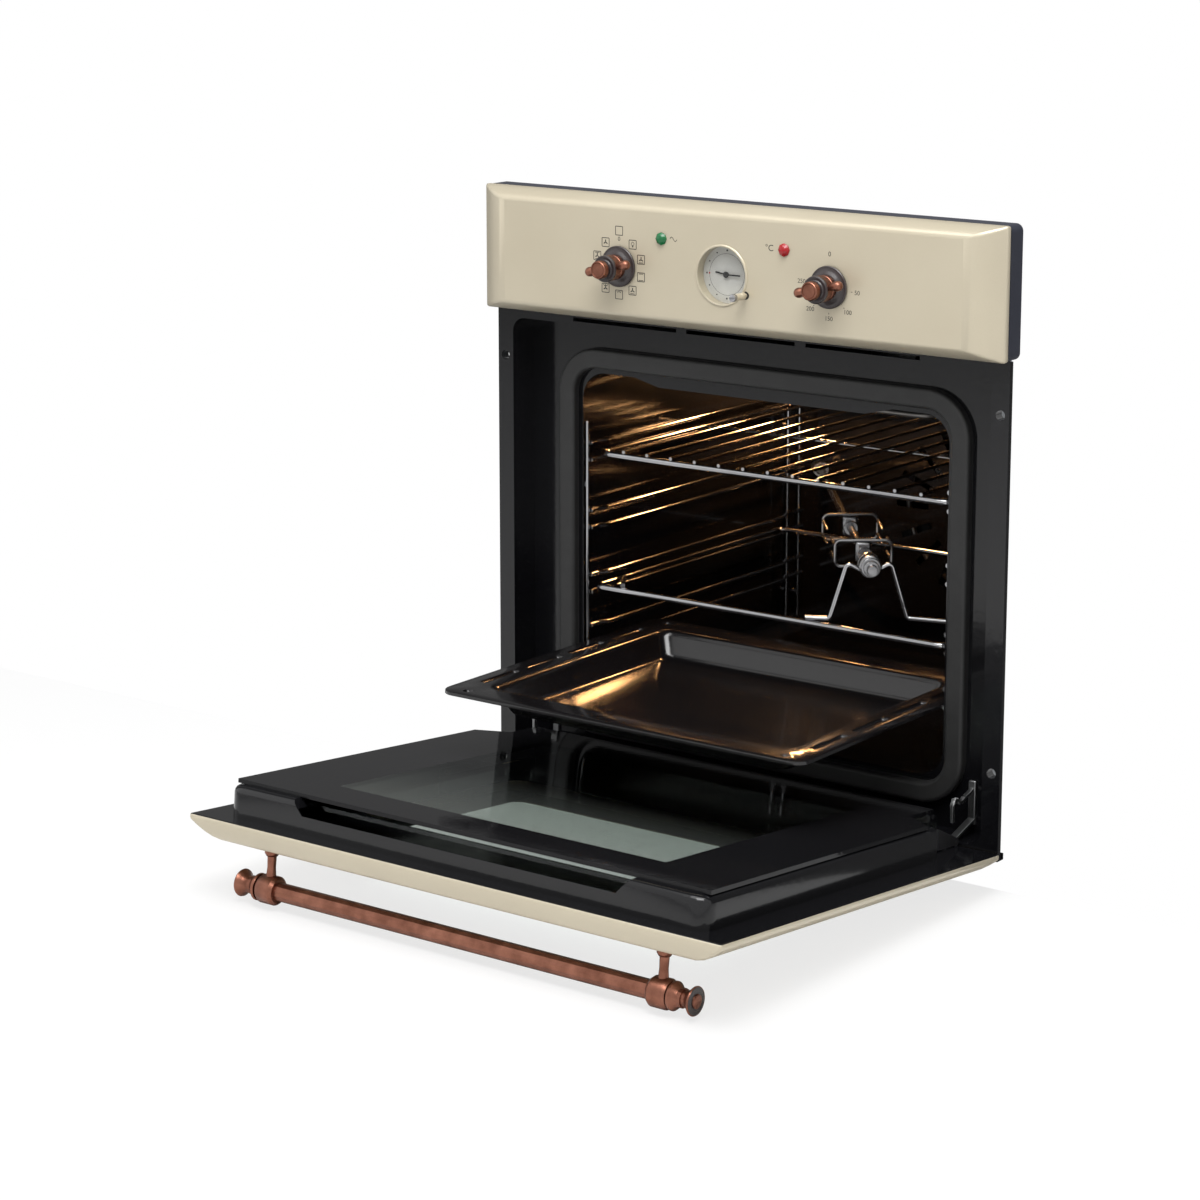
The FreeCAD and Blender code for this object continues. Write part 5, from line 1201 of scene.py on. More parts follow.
@dataclass
class BakingTray:
    """Enamelled tray with a rolled edge, rounded well and pressed grooves in its side rims."""

    half: float = 207.2
    front: float = -204.2
    rear: float = 152.2
    rim_top: float = 124.0
    corner: float = 16.0
    groove_x: float = 190.5
    groove_pitch: float = 70.0
    groove_count: int = 4
    groove_half: tuple[float, float] = (4.5, 27.5)
    dimple_x: float = 182.0
    dimple_y: tuple[float, float] = (-191.0, 139.0)
    dimple_half: tuple[float, float] = (5.0, 5.0)
    sheet: float = 1.2
    crisp_deg: float = 50.0
    well: tuple[tuple[float, float], ...] = (
        (31.0, 0.0), (2.6, 0.6), (2.2, 1.8), (1.6, 3.6), (7.4, 15.6), (2.2, 3.4), (3.0, 1.8), (4.0, 0.4))
    rolled: tuple[tuple[float, float], ...] = ((0.7, 0.5), (0.1, 1.0), (0.0, 2.0))
    boss_levels: tuple[float, float] = (-4.2, -0.5)
    boss_round: float = 1.8
    hollow_levels: tuple[float, float] = (-3.0, 9.0)
    hollow_round: float = 3.4

    def groove(self, name: str, x: float, y: float, half: tuple[float, float], low: float, high: float,
               round_to: float) -> bpy.types.Object:
        """Round-ended block of one groove, in the rim's own levels.

        Args:
            name: The block's name.
            x: Its middle across.
            y: Its middle along.
            half: Half its width and length.
            low: Its lower level.
            high: Its upper level.
            round_to: Width of its rounding.

        Returns:
            The new piece.
        """
        block = Bench.block(name, (x - half[0], y - half[1], low), (x + half[0], y + half[1], high))
        Bench.bevel(block, round_to, 4)
        return block

    def build(self, rack: FinishRack) -> None:
        """Models the tray from a plane, rolls its edge and presses the grooves."""
        Bench.clear()
        bpy.ops.mesh.primitive_plane_add(size=1.0)
        tray = Bench.begin("baking_tray_pressed")
        size = (2 * self.half * MM, (self.rear - self.front) * MM, 1.0)
        bpy.ops.transform.resize(value=size, center_override=(0.0, 0.0, 0.0))
        bpy.ops.transform.translate(value=(0.0, (self.front + self.rear) / 2 * MM, 0.0))
        bpy.ops.mesh.bevel(offset=self.corner * MM, segments=6, affect="VERTICES")
        bpy.ops.mesh.select_mode(type="FACE")
        bpy.ops.mesh.select_all(action="SELECT")
        outline = (2 * self.half, self.rear - self.front)
        middle = (self.front + self.rear) / 2
        for inward, down in self.well:
            outline = Bench.draw(outline, (inward, inward), -down, middle)
        centre = Vector((0.0, middle * MM, 0.0))
        Bench.choose(tray, lambda spot: abs(spot.z) < 1e-5 and (spot - centre).length < 1e-3, True)
        bpy.ops.mesh.delete(type="FACE")
        bpy.ops.mesh.select_all(action="DESELECT")
        bpy.ops.mesh.select_mode(type="EDGE")
        bpy.ops.mesh.select_non_manifold(extend=False)
        for outward, down in self.rolled:
            bpy.ops.mesh.extrude_region_move(TRANSFORM_OT_translate={"value": (0.0, 0.0, -down * MM)})
            grow = 1.0 + outward / self.half
            bpy.ops.transform.resize(value=(grow, grow, 1.0), center_override=(0.0, middle * MM, 0.0))
        Bench.end(tray, self.crisp_deg)
        Bench.pick(tray)
        wall = tray.modifiers.new("sheet", "SOLIDIFY")
        wall.thickness = self.sheet * MM
        wall.offset = -1.0
        bpy.ops.object.modifier_apply(modifier=wall.name)
        bpy.ops.object.mode_set(mode="EDIT")
        Bench.end(tray, self.crisp_deg)
        bosses, hollows = [], []
        for side in (-1, 1):
            spots = [(self.groove_x, middle + (index - (self.groove_count - 1) / 2) * self.groove_pitch,
                      self.groove_half) for index in range(self.groove_count)]
            spots += [(self.dimple_x, y, self.dimple_half) for y in self.dimple_y]
            for x, y, half in spots:
                outer = (half[0] + self.sheet, half[1] + self.sheet)
                spot = (side * x, y)
                bosses.append(self.groove("boss", *spot, outer, *self.boss_levels, self.boss_round))
                hollows.append(self.groove("hollow", *spot, half, *self.hollow_levels, self.hollow_round))
        Bench.carve(tray, Bench.join(bosses, "bosses"), "UNION")
        Bench.carve(tray, Bench.join(hollows, "hollows"))
        Bench.place(tray, Matrix.Translation(at(0.0, 0.0, self.rim_top)))
        finish_piece(tray, TRAY_ENAMEL.material(), "tray", Slot.BLACK.value, "baking_tray")


@dataclass
class FacePrint:
    """Pictograms and figures printed on the fascia."""

    face_y: float = FACE_Y
    knob_z: float = KNOB_Z
    knob_x: float = KNOB_X
    square: float = 9.2
    line: float = 0.7
    ring: float = 27.5
    film: float = 0.12
    top_square: float = 34.5
    nought: float = 26.5
    figure_size: float = 6.0
    figure_ring: tuple[float, float] = (30.5, 29.5)
    tick_ring: float = 24.6
    sign_z: float = 553.5
    degree_x: float = 53.5
    wave_x: float = -59.6
    wave_steps: int = 8
    fan_r: float = 1.4
    bulb_r: float = 1.6

    def figure(self, text: str, x: float, z: float, size: float) -> bpy.types.Object:
        """Printed figures standing on the fascia's face.

        Args:
            text: The figures.
            x: Place across, in millimetres.
            z: Height, in millimetres.
            size: Height of the type, in millimetres.

        Returns:
            The new piece.
        """
        Bench.clear()
        bpy.ops.object.text_add()
        letters = bpy.context.object
        letters.data.body = text
        letters.data.size = size * MM
        letters.data.align_x = "CENTER"
        letters.data.align_y = "CENTER"
        letters.data.extrude = self.film / 2 * MM
        letters.data.resolution_u = 4
        bpy.ops.object.convert(target="MESH")
        figure = bpy.context.object
        return Bench.place(figure, facing_out(x, self.face_y, z))

    def stroke(self, x: float, z: float, length: float, turn_deg: float, width: float) -> bpy.types.Object:
        """Short printed line through a point of the fascia.

        Args:
            x: The point's place across.
            z: The point's height.
            length: The line's length.
            turn_deg: Its turn from level.
            width: Its width.

        Returns:
            The new piece.
        """
        half = length / 2
        bar = Bench.block("stroke", (-half, -width / 2, -self.film / 2), (half, width / 2, self.film / 2))
        Bench.bevel(bar, self.film / 3, 1)
        turn = Matrix.Rotation(math.radians(turn_deg), 4, "Z")
        return Bench.place(bar, facing_out(x, self.face_y, z) @ turn)

    def frame(self, x: float, z: float) -> bpy.types.Object:
        """Square outline of a pictogram."""
        Bench.clear()
        bpy.ops.mesh.primitive_plane_add(size=self.square * MM)
        outline = Bench.begin("square")
        bpy.ops.mesh.bevel(offset=0.9 * MM, segments=3, affect="VERTICES")
        bpy.ops.mesh.select_mode(type="FACE")
        bpy.ops.mesh.select_all(action="SELECT")
        bpy.ops.mesh.inset(thickness=self.line * MM)
        bpy.ops.mesh.delete(type="FACE")
        bpy.ops.mesh.select_all(action="SELECT")
        bpy.ops.mesh.extrude_region_move(TRANSFORM_OT_translate={"value": (0.0, 0.0, self.film / 2 * MM)})
        Bench.end(outline)
        return Bench.place(outline, facing_out(x, self.face_y, z))

    def fan(self, x: float, z: float) -> list[bpy.types.Object]:
        """Small fan of three blades."""
        blades = []
        for turn in (90.0, 210.0, 330.0):
            angle = math.radians(turn)
            spot = (x + self.fan_r * math.cos(angle), z + self.fan_r * math.sin(angle))
            blades.append(self.stroke(*spot, 2.4, turn, 1.1))
        return blades

    def bars(self, x: float, z: float, top: bool, foot: bool) -> list[bpy.types.Object]:
        """Heater lines at the top and foot of a pictogram."""
        rows = [3.1] * top + [-3.1] * foot
        return [self.stroke(x, z + row, 5.4, 0.0, 0.6) for row in rows]

    def grill(self, x: float, z: float) -> list[bpy.types.Object]:
        """Zigzag of a grill at the top of a pictogram."""
        return [self.stroke(x - 2.1 + 1.4 * step, z + 2.7, 1.9, 50.0 if step % 2 else -50.0, 0.55)
                for step in range(4)]

    def bulb(self, x: float, z: float) -> list[bpy.types.Object]:
        """Lamp sign: a ring with a foot."""
        pieces = []
        for turn in range(0, 360, 45):
            angle = math.radians(turn)
            spot = (x + self.bulb_r * math.cos(angle), z + 0.7 + self.bulb_r * math.sin(angle))
            pieces.append(self.stroke(*spot, 1.4, turn + 90.0, 0.5))
        return pieces + [self.stroke(x, z - 1.9, 1.6, 0.0, 1.3)]

    def selector_signs(self) -> list[bpy.types.Object]:
        """Ten squares round the selector knob and the nought."""
        pieces = [self.frame(-self.knob_x, self.knob_z + self.top_square)]
        pieces.append(self.figure("0", -self.knob_x, self.knob_z + self.nought, self.figure_size))
        for place in range(1, 10):
            angle = math.radians(90.0 - 36.0 * place)
            x = -self.knob_x + self.ring * math.cos(angle)
            z = self.knob_z + self.ring * math.sin(angle)
            pieces.append(self.frame(x, z))
            if place == 1:
                pieces += self.bulb(x, z)
            if place in (2, 4, 6, 8, 9):
                pieces += self.fan(x, z)
            if place in (3, 8):
                pieces += self.bars(x, z, True, True)
            if place in (2, 4):
                pieces += self.bars(x, z, False, True)
            if place in (5, 6, 7):
                pieces += self.grill(x, z)
        return pieces

    def thermostat_signs(self) -> list[bpy.types.Object]:
        """Figures and ticks round the thermostat knob and the two signs by the pilot lamps."""
        across, up = self.figure_ring
        pieces = [self.figure("0", self.knob_x, self.knob_z + across, 6.4)]
        for figures, turn in (("50", -6.0), ("100", -48.0), ("150", -90.0), ("200", -132.0), ("250", 174.0)):
            angle = math.radians(turn)
            x = self.knob_x + across * math.cos(angle)
            pieces.append(self.figure(figures, x, self.knob_z + up * math.sin(angle), self.figure_size))
            tick_x = self.knob_x + self.tick_ring * math.cos(angle)
            pieces.append(self.stroke(tick_x, self.knob_z + self.tick_ring * math.sin(angle), 1.6, turn, 0.6))
        pieces.append(self.figure("°C", self.degree_x, self.sign_z, 8.6))
        for step in range(self.wave_steps):
            phase = (step + 0.5) / self.wave_steps * 2 * math.pi
            slope = math.degrees(math.atan(1.7 * math.cos(phase)))
            wave_z = self.sign_z + 1.9 * math.sin(phase)
            pieces.append(self.stroke(self.wave_x + step * 1.05, wave_z, 1.7, slope, 0.6))
        return pieces

    def build(self, rack: FinishRack) -> None:
        """Prints the fascia."""
        sheet = Bench.join(self.selector_signs() + self.thermostat_signs(), "fascia_print")
        finish_piece(sheet, rack.built[Slot.HAND], "oven_body", Slot.HAND.value)


@dataclass
class ClockFace:
    """Marks on the clock's dial and its sunk rim."""

    z: float = CLOCK_Z
    face_y: float = FACE_Y
    dial_y: float = DIAL_Y
    dot_ring: float = 23.0
    red_x: float = -20.0

    def ring(self, name: str, profile: list[tuple[float, float]], bore: float,
             foot: float) -> bpy.types.Object:
        """Turned ring standing on the dial.

        Args:
            name: The piece's name.
            profile: Height and radius pairs of its outside.
            bore: Radius of its hole.
            foot: Height where the hole starts.

        Returns:
            The new piece.
        """
        ring = Bench.turn(name, profile, 96)
        Bench.carve(ring, Bench.turn("bore", [(foot, bore), (40.0, bore)], 96))
        return Bench.place(ring, facing_out(0.0, self.dial_y, self.z))

    def build(self, rack: FinishRack) -> None:
        """Models the dial's dots and ring, the red mark and the rim."""
        depth = self.dial_y - self.face_y
        cup = self.ring("clock_case_cup", [
            (-3.0, 28.4), (depth - 0.2, 28.4), (depth - 0.2, 29.4), (depth + 0.5, 29.5), (depth + 1.1, 29.0),
            (depth + 1.3, 28.3), (depth + 1.1, 27.8)], 27.4, -1.5)
        finish_piece(cup, rack.built[Slot.CREAM], "oven_body", Slot.CREAM.value, "clock_case")
        dots = []
        for hour in range(12):
            angle = math.radians(30.0 * hour)
            wide = 0.95 if hour % 3 == 0 else 0.75
            dot = Bench.turn("dot", [(0.0, wide), (0.1, wide), (0.14, wide * 0.8)], 16)
            spot = (self.dot_ring * math.sin(angle), self.z + self.dot_ring * math.cos(angle))
            dots.append(Bench.place(dot, facing_out(spot[0], self.dial_y, spot[1])))
        circle = self.ring("circle", [(-0.1, 20.0), (0.08, 20.0), (0.12, 19.9)], 19.7, -1.0)
        marks = Bench.join(dots + [circle], "dial_marks")
        finish_piece(marks, rack.built[Slot.HAND], "oven_body", Slot.HAND.value)
        # The printed red mark wears the red signal-lens finish, so it has a faint painted glow though it is
        # no lamp.
        red = Bench.turn("dial_red_mark", [(0.0, 0.8), (0.12, 0.8), (0.16, 0.5)], 16)
        Bench.place(red, facing_out(self.red_x, self.dial_y - 0.05, self.z))
        finish_piece(red, rack.built[Slot.RED], "oven_body", Slot.RED.value)


@dataclass
class DoorShell:
    """Enamelled tub of the door's inside, rounded at its edges, with the vent dip in its free wall."""

    half: float = 268.0
    start: float = 15.0
    end: float = 440.0
    back_y: float = BACK_Y
    bottom: float = DOOR_BOTTOM
    corner: float = 16.0
    sheet: float = 1.2
    lip: float = 14.0
    vent_half: tuple[float, float] = (176.0, 203.0)
    vent_level: tuple[float, float] = (16.0, 45.0)
    window_half: float = WINDOW_HALF
    window: tuple[float, float] = (WINDOW_LOW, WINDOW_HIGH)
    notch: tuple[float, float] = (237.0, 66.0)
    hollow_depth: float = 20.8
    mouth_low: float = 12.0
    mouth_corner: float = 8.0
    cutter_top: float = 60.0
    window_corner: float = WINDOW_CORNER
    crisp_deg: float = 40.0
    shoulder: tuple[tuple[float, float], ...] = (
        (0.0, 23.4), (0.5, 2.3), (1.1, 1.9), (1.9, 1.3), (2.6, 0.8), (3.0, 0.3))
    door: DoorFrameOfReference = DoorFrameOfReference()

    def slab(self, name: str, draw_in: float) -> bpy.types.Object:
        """Opens a round-cornered sheet of the tub's outline, drawn in, in edit mode with its face picked."""
        Bench.clear()
        bpy.ops.mesh.primitive_plane_add(size=1.0)
        sheet = Bench.begin(name)
        size = (2 * (self.half - draw_in) * MM, (self.end - self.start - 2 * draw_in) * MM, 1.0)
        bpy.ops.transform.resize(value=size, center_override=(0.0, 0.0, 0.0))
        bpy.ops.transform.translate(value=(0.0, -(self.start + self.end) / 2 * MM, 0.0))
        bpy.ops.mesh.bevel(offset=(self.corner - draw_in) * MM, segments=8, affect="VERTICES")
        bpy.ops.mesh.select_mode(type="FACE")
        bpy.ops.mesh.select_all(action="SELECT")
        return sheet

    def vent(self) -> bpy.types.Object:
        """Cutter of the dip in the free wall, wider at its top."""
        dip = Bench.block("vent_dip", (-self.vent_half[0], -self.end - 12.0, self.vent_level[0]),
                          (self.vent_half[0], self.lip - self.end, self.vent_level[1]))
        Bench.pick(dip)
        bpy.ops.object.mode_set(mode="EDIT")
        top = self.vent_level[1] * MM
        Bench.choose(dip, lambda middle: middle.z > top - 1e-4, True)
        spread = self.vent_half[1] / self.vent_half[0]
        bpy.ops.transform.resize(value=(spread, 1.0, 1.0), center_override=(0.0, 0.0, top))
        return Bench.end(dip)

    def build(self, rack: FinishRack) -> None:
        """Draws the tub out of a plane, then hollows it and cuts its openings."""
        tub = self.slab("door_shell_tub", 0.0)
        size = (2 * self.half, self.end - self.start)
        for inward, rise in self.shoulder:
            size = Bench.draw(size, (inward, inward), rise, -(self.start + self.end) / 2)
        Bench.end(tub, self.crisp_deg)
        hollow = self.slab("hollow", self.sheet)
        bpy.ops.transform.translate(value=(0.0, 0.0, self.sheet * MM))
        bpy.ops.mesh.extrude_region_move(TRANSFORM_OT_translate={"value": (0.0, 0.0, self.hollow_depth * MM)})
        Bench.carve(tub, Bench.end(hollow))
        mouth = Bench.block("mouth", (self.lip - self.half, self.lip - self.end, self.mouth_low),
                            (self.half - self.lip, -self.start - self.lip, self.cutter_top))
        Bench.bevel(mouth, self.mouth_corner, 4)
        Bench.carve(tub, mouth)
        pane = Bench.block("pane", (-self.window_half, -self.window[1], -30.0),
                           (self.window_half, -self.window[0], 30.0))
        Bench.bevel(pane, self.window_corner, 6)
        Bench.carve(tub, pane)
        Bench.carve(tub, self.vent())
        for side in (-1, 1):
            edges = sorted((side * self.notch[0], side * (self.half + 20.0)))
            low, high = (edges[0], -self.notch[1], -10.0), (edges[1], 10.0, self.cutter_top)
            Bench.carve(tub, Bench.block("hinge_notch", low, high))
        inward_turn = Matrix.Rotation(math.radians(-90.0), 4, "X")
        foot = Matrix.Translation(at(0.0, self.back_y, self.bottom))
        Bench.place(tub, self.door.opening() @ foot @ inward_turn)
        finish_piece(tub, rack.built[Slot.BLACK], "door", Slot.BLACK.value, "door_shell")


@dataclass
class PilotJewels:
    """Faceted lenses of the two pilot lamps."""

    x: float = 70.0
    z: float = 553.0
    face_y: float = FACE_Y

    def build(self, rack: FinishRack) -> None:
        """Models both lenses."""
        for side, tag, slot in ((-1, "green_pilot", Slot.GREEN), (1, "red_pilot", Slot.RED)):
            jewel = Bench.turn(f"{tag}_jewel", [
                (-1.0, 6.3), (0.9, 6.3), (1.3, 5.9), (3.2, 4.6), (4.3, 2.6), (4.5, 0.3)], 8)
            Bench.place(jewel, facing_out(self.x * side, self.face_y, self.z))
            finish_piece(jewel, rack.built[slot], "oven_body", slot.value, tag)


@dataclass
class ClockHands:
    """Both hands: flat bars with round ends on their boss, arbor and wheels."""

    z: float = CLOCK_Z
    dial_y: float = DIAL_Y
    minute_length: float = 16.2
    hour_length: float = 12.8
    hour_tilt_deg: float = 172.5
    half_width: float = 0.75
    minute_level: tuple[float, float] = (1.6, 2.2)
    hour_level: tuple[float, float] = (0.5, 1.1)

    def bar(self, name: str, length: float, low: float, high: float, turn_deg: float) -> bpy.types.Object:
        """Flat bar from the middle of the dial outwards.

        Args:
            name: The bar's name.
            length: Its length in millimetres.
            low: Height of its back above the dial.
            high: Height of its face above the dial.
            turn_deg: Where it points, anticlockwise from three o'clock.

        Returns:
            The new piece.
        """
        bar = Bench.block(name, (0.0, -self.half_width, low), (length, self.half_width, high))
        Bench.bevel(bar, 0.25, 2)
        return Bench.place(bar, Matrix.Rotation(math.radians(turn_deg), 4, "Z"))

    def build(self, rack: FinishRack) -> None:
        """Models both hands with what turns them."""
        dark = rack.built[Slot.HAND]
        place = facing_out(0.0, self.dial_y, self.z)
        arbor = Bench.turn("minute_arbor", [
            (-15.0, 0.8), (-6.0, 0.8), (-6.0, 18.0), (-4.0, 18.0), (-4.0, 0.8), (1.4, 0.8), (1.5, 2.9),
            (2.0, 3.1), (2.6, 2.9), (2.9, 2.2), (2.95, 0.3)])
        minute_bar = self.bar("minute_bar", self.minute_length, *self.minute_level, 0.0)
        minute = Bench.place(Bench.join([arbor, minute_bar], "minute_hand_bar"), place)
        finish_piece(minute, dark, "clock_minute", Slot.HAND.value, "minute_hand")
        sleeve = Bench.turn("hour_sleeve", [
            (-3.5, 11.9), (-3.4, 12.0), (-1.5, 12.0), (-1.5, 1.8), (0.5, 1.8), (0.5, 2.5), (1.1, 2.5),
            (1.15, 1.4)])
        sweep = self.bar("hour_bar", self.hour_length, *self.hour_level, self.hour_tilt_deg)
        Bench.carve(sleeve, sweep, "UNION")
        Bench.carve(sleeve, Bench.turn("bore", [(-9.0, 1.0), (9.0, 1.0)]))
        sleeve.name = "hour_hand_bar"
        finish_piece(Bench.place(sleeve, place), dark, "clock_hour", Slot.HAND.value, "hour_hand")


@dataclass
class SettingStem:
    """Stem below the clock: a cream sleeve with a plated end, and a flat black disc on the fascia that paints
    the shade of the hole round its foot.
    """

    x: float = 27.3
    z: float = 506.7
    face_y: float = FACE_Y

    def build(self, rack: FinishRack) -> None:
        """Models sleeve, end and the black disc of painted hole shade."""
        place = facing_out(self.x, self.face_y, self.z)
        sleeve = Bench.turn("setting_stem_sleeve", [
            (-4.0, 2.0), (2.6, 2.0), (2.8, 3.0), (3.4, 3.4), (9.0, 3.4), (9.3, 3.0), (9.9, 3.0), (10.2, 3.4),
            (17.6, 3.4), (17.8, 3.0), (18.4, 3.0)])
        finish_piece(Bench.place(sleeve, place), rack.built[Slot.CREAM], "clock_stem", Slot.CREAM.value,
                     "setting_stem")
        tip = Bench.turn("setting_stem_tip", [
            (18.2, 3.0), (18.3, 3.5), (18.6, 3.7), (21.6, 3.7), (22.3, 3.4), (22.6, 2.8), (22.6, 0.3)])
        finish_piece(Bench.place(tip, place), rack.built[Slot.CHROME], "clock_stem", Slot.CHROME.value)
        # Painted shade: a thin black disc laid on the fascia stands in for the dark hole round the stem.
        hole = Bench.turn("setting_stem_hole_shade_disc", [(0.02, 3.9), (0.1, 3.9), (0.14, 3.7), (0.1, 2.2)])
        finish_piece(Bench.place(hole, place), rack.built[Slot.HAND], "oven_body", Slot.HAND.value)


@dataclass
class HingeArms:
    """Pressed arms of the door hinges: an end plate in its slot, a hooked strip and the eye round the pin."""

    x: float = 247.0
    pivot: tuple[float, float] = (HINGE_Y, HINGE_Z)
    thick: float = 3.0
    width: float = 4.2
    lap: float = 0.8
    plate_low: tuple[float, float, float] = (-4.0, 31.5, 14.6)
    plate_high: tuple[float, float, float] = (4.0, 34.2, 57.6)
    brace_end: tuple[float, float] = (33.0, 20.0)
    brace_width: float = 7.4
    hook: tuple[tuple[float, float], ...] = (
        (-3.6, 27.0), (-3.6, 42.5), (-1.0, 46.4), (3.4, 46.0), (7.0, 42.4), (12.4, 42.6), (18.4, 45.2),
        (26.0, 47.0), (33.0, 50.0))

    def strip(self, start: tuple[float, float], stop: tuple[float, float], width: float) -> bpy.types.Object:
        """Straight length of the pressed strip between two points of its side view.

        Args:
            start: Depth and height where it starts.
            stop: Depth and height where it ends.
            width: Width of the strip.

        Returns:
            The new piece, a little longer than its run so that it laps its neighbours.
        """
        run = Vector((0.0, stop[0] - start[0], stop[1] - start[1]))
        half = width / 2
        past = half * self.lap
        bar = Bench.block("strip", (-self.thick / 2, -half, -past), (self.thick / 2, half, run.length + past))
        Bench.bevel(bar, 0.5, 2)
        lean = run.to_track_quat("Z", "X").to_matrix().to_4x4()
        return Bench.place(bar, Matrix.Translation(Vector((0.0, start[0], start[1])) * MM) @ lean)

    def build(self, rack: FinishRack) -> None:
        """Models one arm, then its twin."""
        arm = Bench.block("hinge_arm", self.plate_low, self.plate_high)
        Bench.bevel(arm, 1.2, 3)
        for start, stop in zip(self.hook, self.hook[1:]):
            Bench.carve(arm, self.strip(start, stop, self.width), "UNION")
        Bench.carve(arm, self.strip(self.pivot, self.brace_end, self.brace_width), "UNION")
        eye = Bench.turn("eye", [(-self.thick / 2, 3.6), (-1.2, 4.0), (1.2, 4.0), (self.thick / 2, 3.6)])
        across = Matrix.Rotation(math.radians(90.0), 4, "Y")
        at_pin = Matrix.Translation(Vector((0.0, *self.pivot)) * MM) @ across
        Bench.carve(arm, Bench.place(eye, at_pin), "UNION")
        Bench.carve(arm, Bench.place(Bench.turn("pin_bore", [(-9.0, 2.2), (9.0, 2.2)]), at_pin))
        twin = Bench.copy(arm, "hinge_arm_twin", Matrix.Translation(at(-self.x, 0.0, 0.0)))
        Bench.place(arm, Matrix.Translation(at(self.x, 0.0, 0.0)))
        pair = Bench.join([arm, twin], "hinge_arms_hooked")
        steel = BrightMetal("hinge_arm_steel", (0.26, 0.265, 0.265), 0.3)
        finish_piece(pair, steel.material(), "oven_body", Slot.STEEL.value, "hinge_arms")


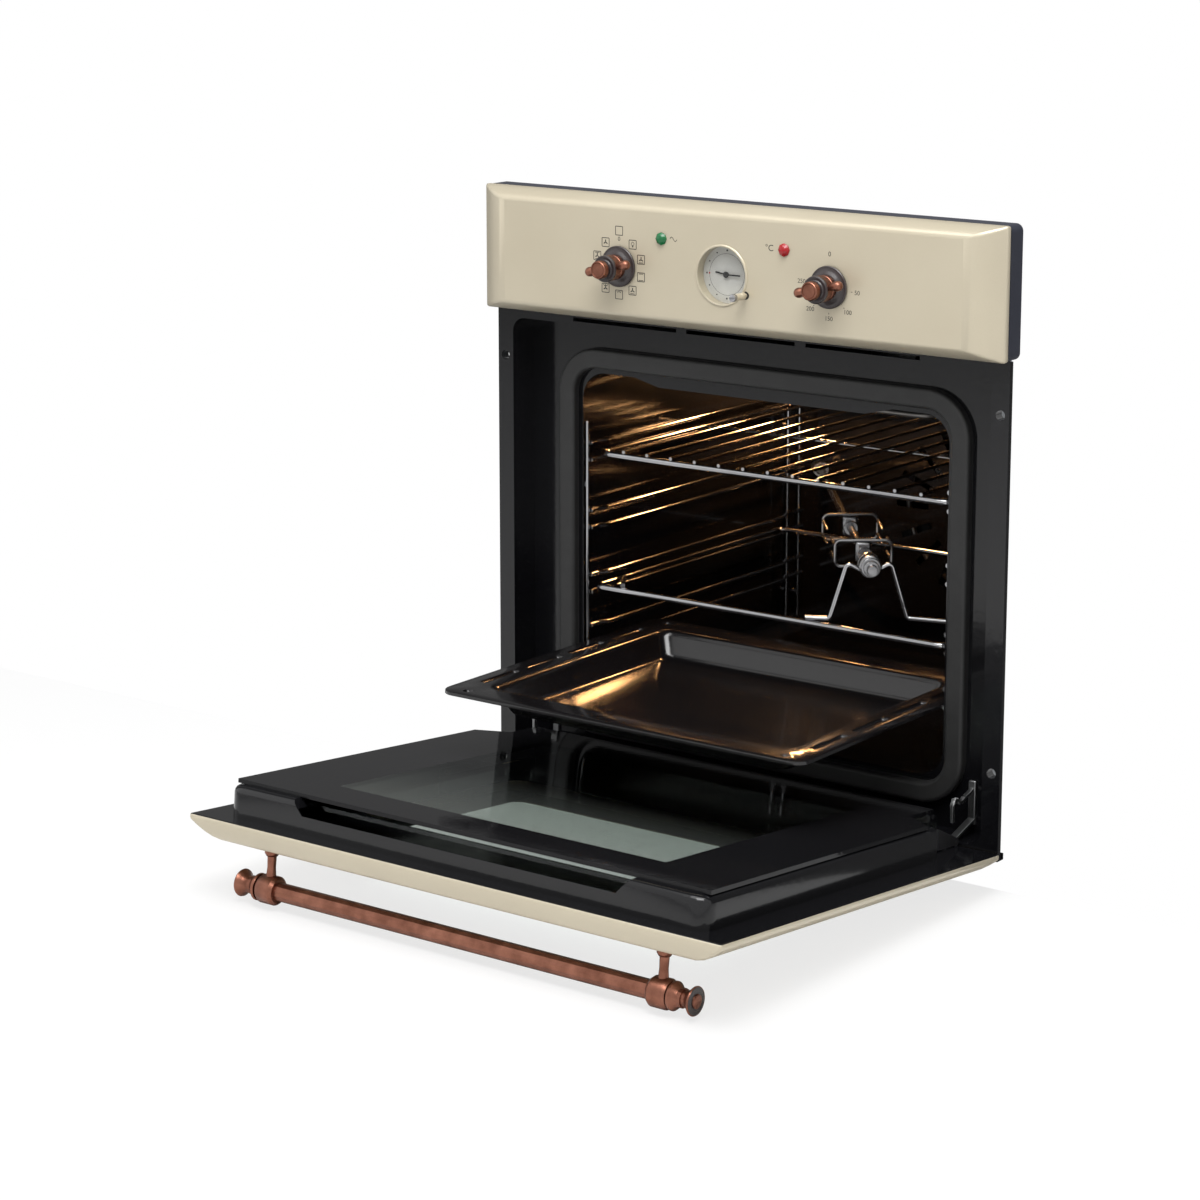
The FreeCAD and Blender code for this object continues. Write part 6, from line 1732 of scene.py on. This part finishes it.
@dataclass
class SpitAndForks:
    """Roasting spit with its ribbed nut, and two forks of bent wire clamped on it."""

    notch: tuple[float, float, float] = (100.9, 78.5, 237.0)
    angle_deg: float = 38.5
    end: float = 473.2
    fork_steps: tuple[tuple[float, int], ...] = ((45.0, 1), (165.0, -1))
    half: tuple[float, float] = (28.0, 13.0)
    corner: float = 6.0
    wire: float = 1.8
    tine_l: float = 42.0
    tine_point: float = 9.0
    hub_l: float = 14.0
    spit_point: float = 8.0

    def along(self, distance: float, facing: int = 1) -> Matrix:
        """Turn and move that lay a piece's +Z along the spit, with +Y up.

        Args:
            distance: How far along the spit, in millimetres from its notch.
            facing: 1 to point along the spit, -1 to point back.

        Returns:
            The matrix.
        """
        turn = Matrix.Rotation(math.radians(180.0 + self.angle_deg), 4, "Z") @ Matrix.Rotation(
            math.radians(90.0), 4, "X")
        flip = Matrix.Rotation(math.radians(0.0 if facing > 0 else 180.0), 4, "Y")
        step = Matrix.Translation((0.0, 0.0, distance * MM))
        return Matrix.Translation(at(*self.notch)) @ turn @ step @ flip

    def loop(self) -> bpy.types.Object:
        """Wire bent to a rectangle with round corners."""
        Bench.clear()
        bpy.ops.mesh.primitive_plane_add(size=2.0)
        loop = Bench.begin("fork_loop")
        size = (self.half[0] * MM, self.half[1] * MM, 1.0)
        bpy.ops.transform.resize(value=size, center_override=(0.0, 0.0, 0.0))
        bpy.ops.mesh.bevel(offset=self.corner * MM, segments=5, affect="VERTICES")
        bpy.ops.mesh.select_all(action="SELECT")
        bpy.ops.mesh.delete(type="ONLY_FACE")
        bpy.ops.object.mode_set(mode="OBJECT")
        bpy.ops.object.convert(target="CURVE")
        loop.data.bevel_depth = self.wire * MM
        loop.data.bevel_resolution = 2
        bpy.ops.object.convert(target="MESH")
        bpy.ops.object.mode_set(mode="EDIT")
        return Bench.end(loop)

    def fork(self) -> bpy.types.Object:
        """One fork: loop, four tines, hub and clamp, with the hub's near end at the origin."""
        middle = self.hub_l / 2
        parts = [Bench.turn("fork_hub", [
            (0.0, 6.8), (0.6, 7.4), (self.hub_l - 0.6, 7.4), (self.hub_l, 6.8), (self.hub_l, 4.3)])]
        parts.append(Bench.place(self.loop(), Matrix.Translation((0.0, 0.0, middle * MM))))
        clamp = Bench.block("fork_clamp", (-8.5, -9.0, 3.0), (8.5, 12.5, 11.0))
        Bench.bevel(clamp, 3.6, 4)
        parts.append(clamp)
        shank = self.tine_l - self.tine_point
        tine = Bench.turn("fork_tine", [(0.0, self.wire), (shank, self.wire), (self.tine_l, 0.4)], 16)
        for side in (-1, 1):
            for up in (-1, 1):
                spot = Vector((side * self.half[0], up * (self.half[1] - self.corner), middle)) * MM
                parts.append(Bench.copy(tine, "fork_tine_copy", Matrix.Translation(spot)))
        bpy.data.objects.remove(tine)
        return Bench.join(parts, "fork")

    def build(self, rack: FinishRack) -> None:
        """Models the spit, then one fork and its twin."""
        spit = Bench.turn("spit_with_nut", [
            (-25.5, 3.2), (-25.2, 4.6), (-19.4, 5.2), (-19.0, 7.2), (-18.4, 7.7), (-14.6, 7.7), (-14.2, 6.9),
            (-13.4, 6.9), (-13.0, 9.2), (-12.6, 9.6), (-10.6, 9.6), (-10.2, 8.8), (-9.4, 8.8), (-9.0, 10.6),
            (-8.6, 11.0), (-6.6, 11.0), (-6.2, 10.0), (-5.4, 10.0), (-5.0, 10.8), (-3.5, 11.0), (-3.5, 5.2),
            (3.5, 5.2), (3.5, 10.6), (4.0, 11.0), (9.0, 11.0), (9.5, 10.6), (9.5, 4.0),
            (self.end - self.spit_point, 4.0), (self.end, 1.0)], 40)
        Bench.place(spit, self.along(0.0))
        steel = BrightMetal("spit_plate", (0.27, 0.27, 0.275), 0.2).material()
        finish_piece(spit, steel, "spit_with_forks", Slot.CHROME.value, "spit")
        fork = self.fork()
        near, far = self.fork_steps
        twin = Bench.copy(fork, "fork_twin", self.along(far[0] + self.hub_l, far[1]))
        Bench.place(fork, self.along(near[0], near[1]))
        pair = Bench.join([fork, twin], "spit_forks_looped")
        finish_piece(pair, steel, "spit_with_forks", Slot.CHROME.value, "spit_forks")


def main() -> None:
    """Builds the whole scene in order."""
    logging.basicConfig(level=logging.INFO, format="%(message)s")
    rack = FinishRack()
    rack.build()
    rack.dress_solids()
    Fascia().build(rack)
    FacePrint().build(rack)
    ClockFace().build(rack)
    ClockHands().build(rack)
    SettingStem().build(rack)
    ControlKnob("selector_knob", "selector_knob", -KNOB_X).build(rack)
    ControlKnob("thermostat_knob", "thermostat_knob", KNOB_X).build(rack)
    PilotJewels().build(rack)
    DoorLeaf().build(rack)
    DoorShell().build(rack)
    DoorHandle().build(rack)
    HingeArms().build(rack)
    SpitAndForks().build(rack)
    BakingTray().build(rack)
    Studio().build()


if __name__ == "__main__":
    main()
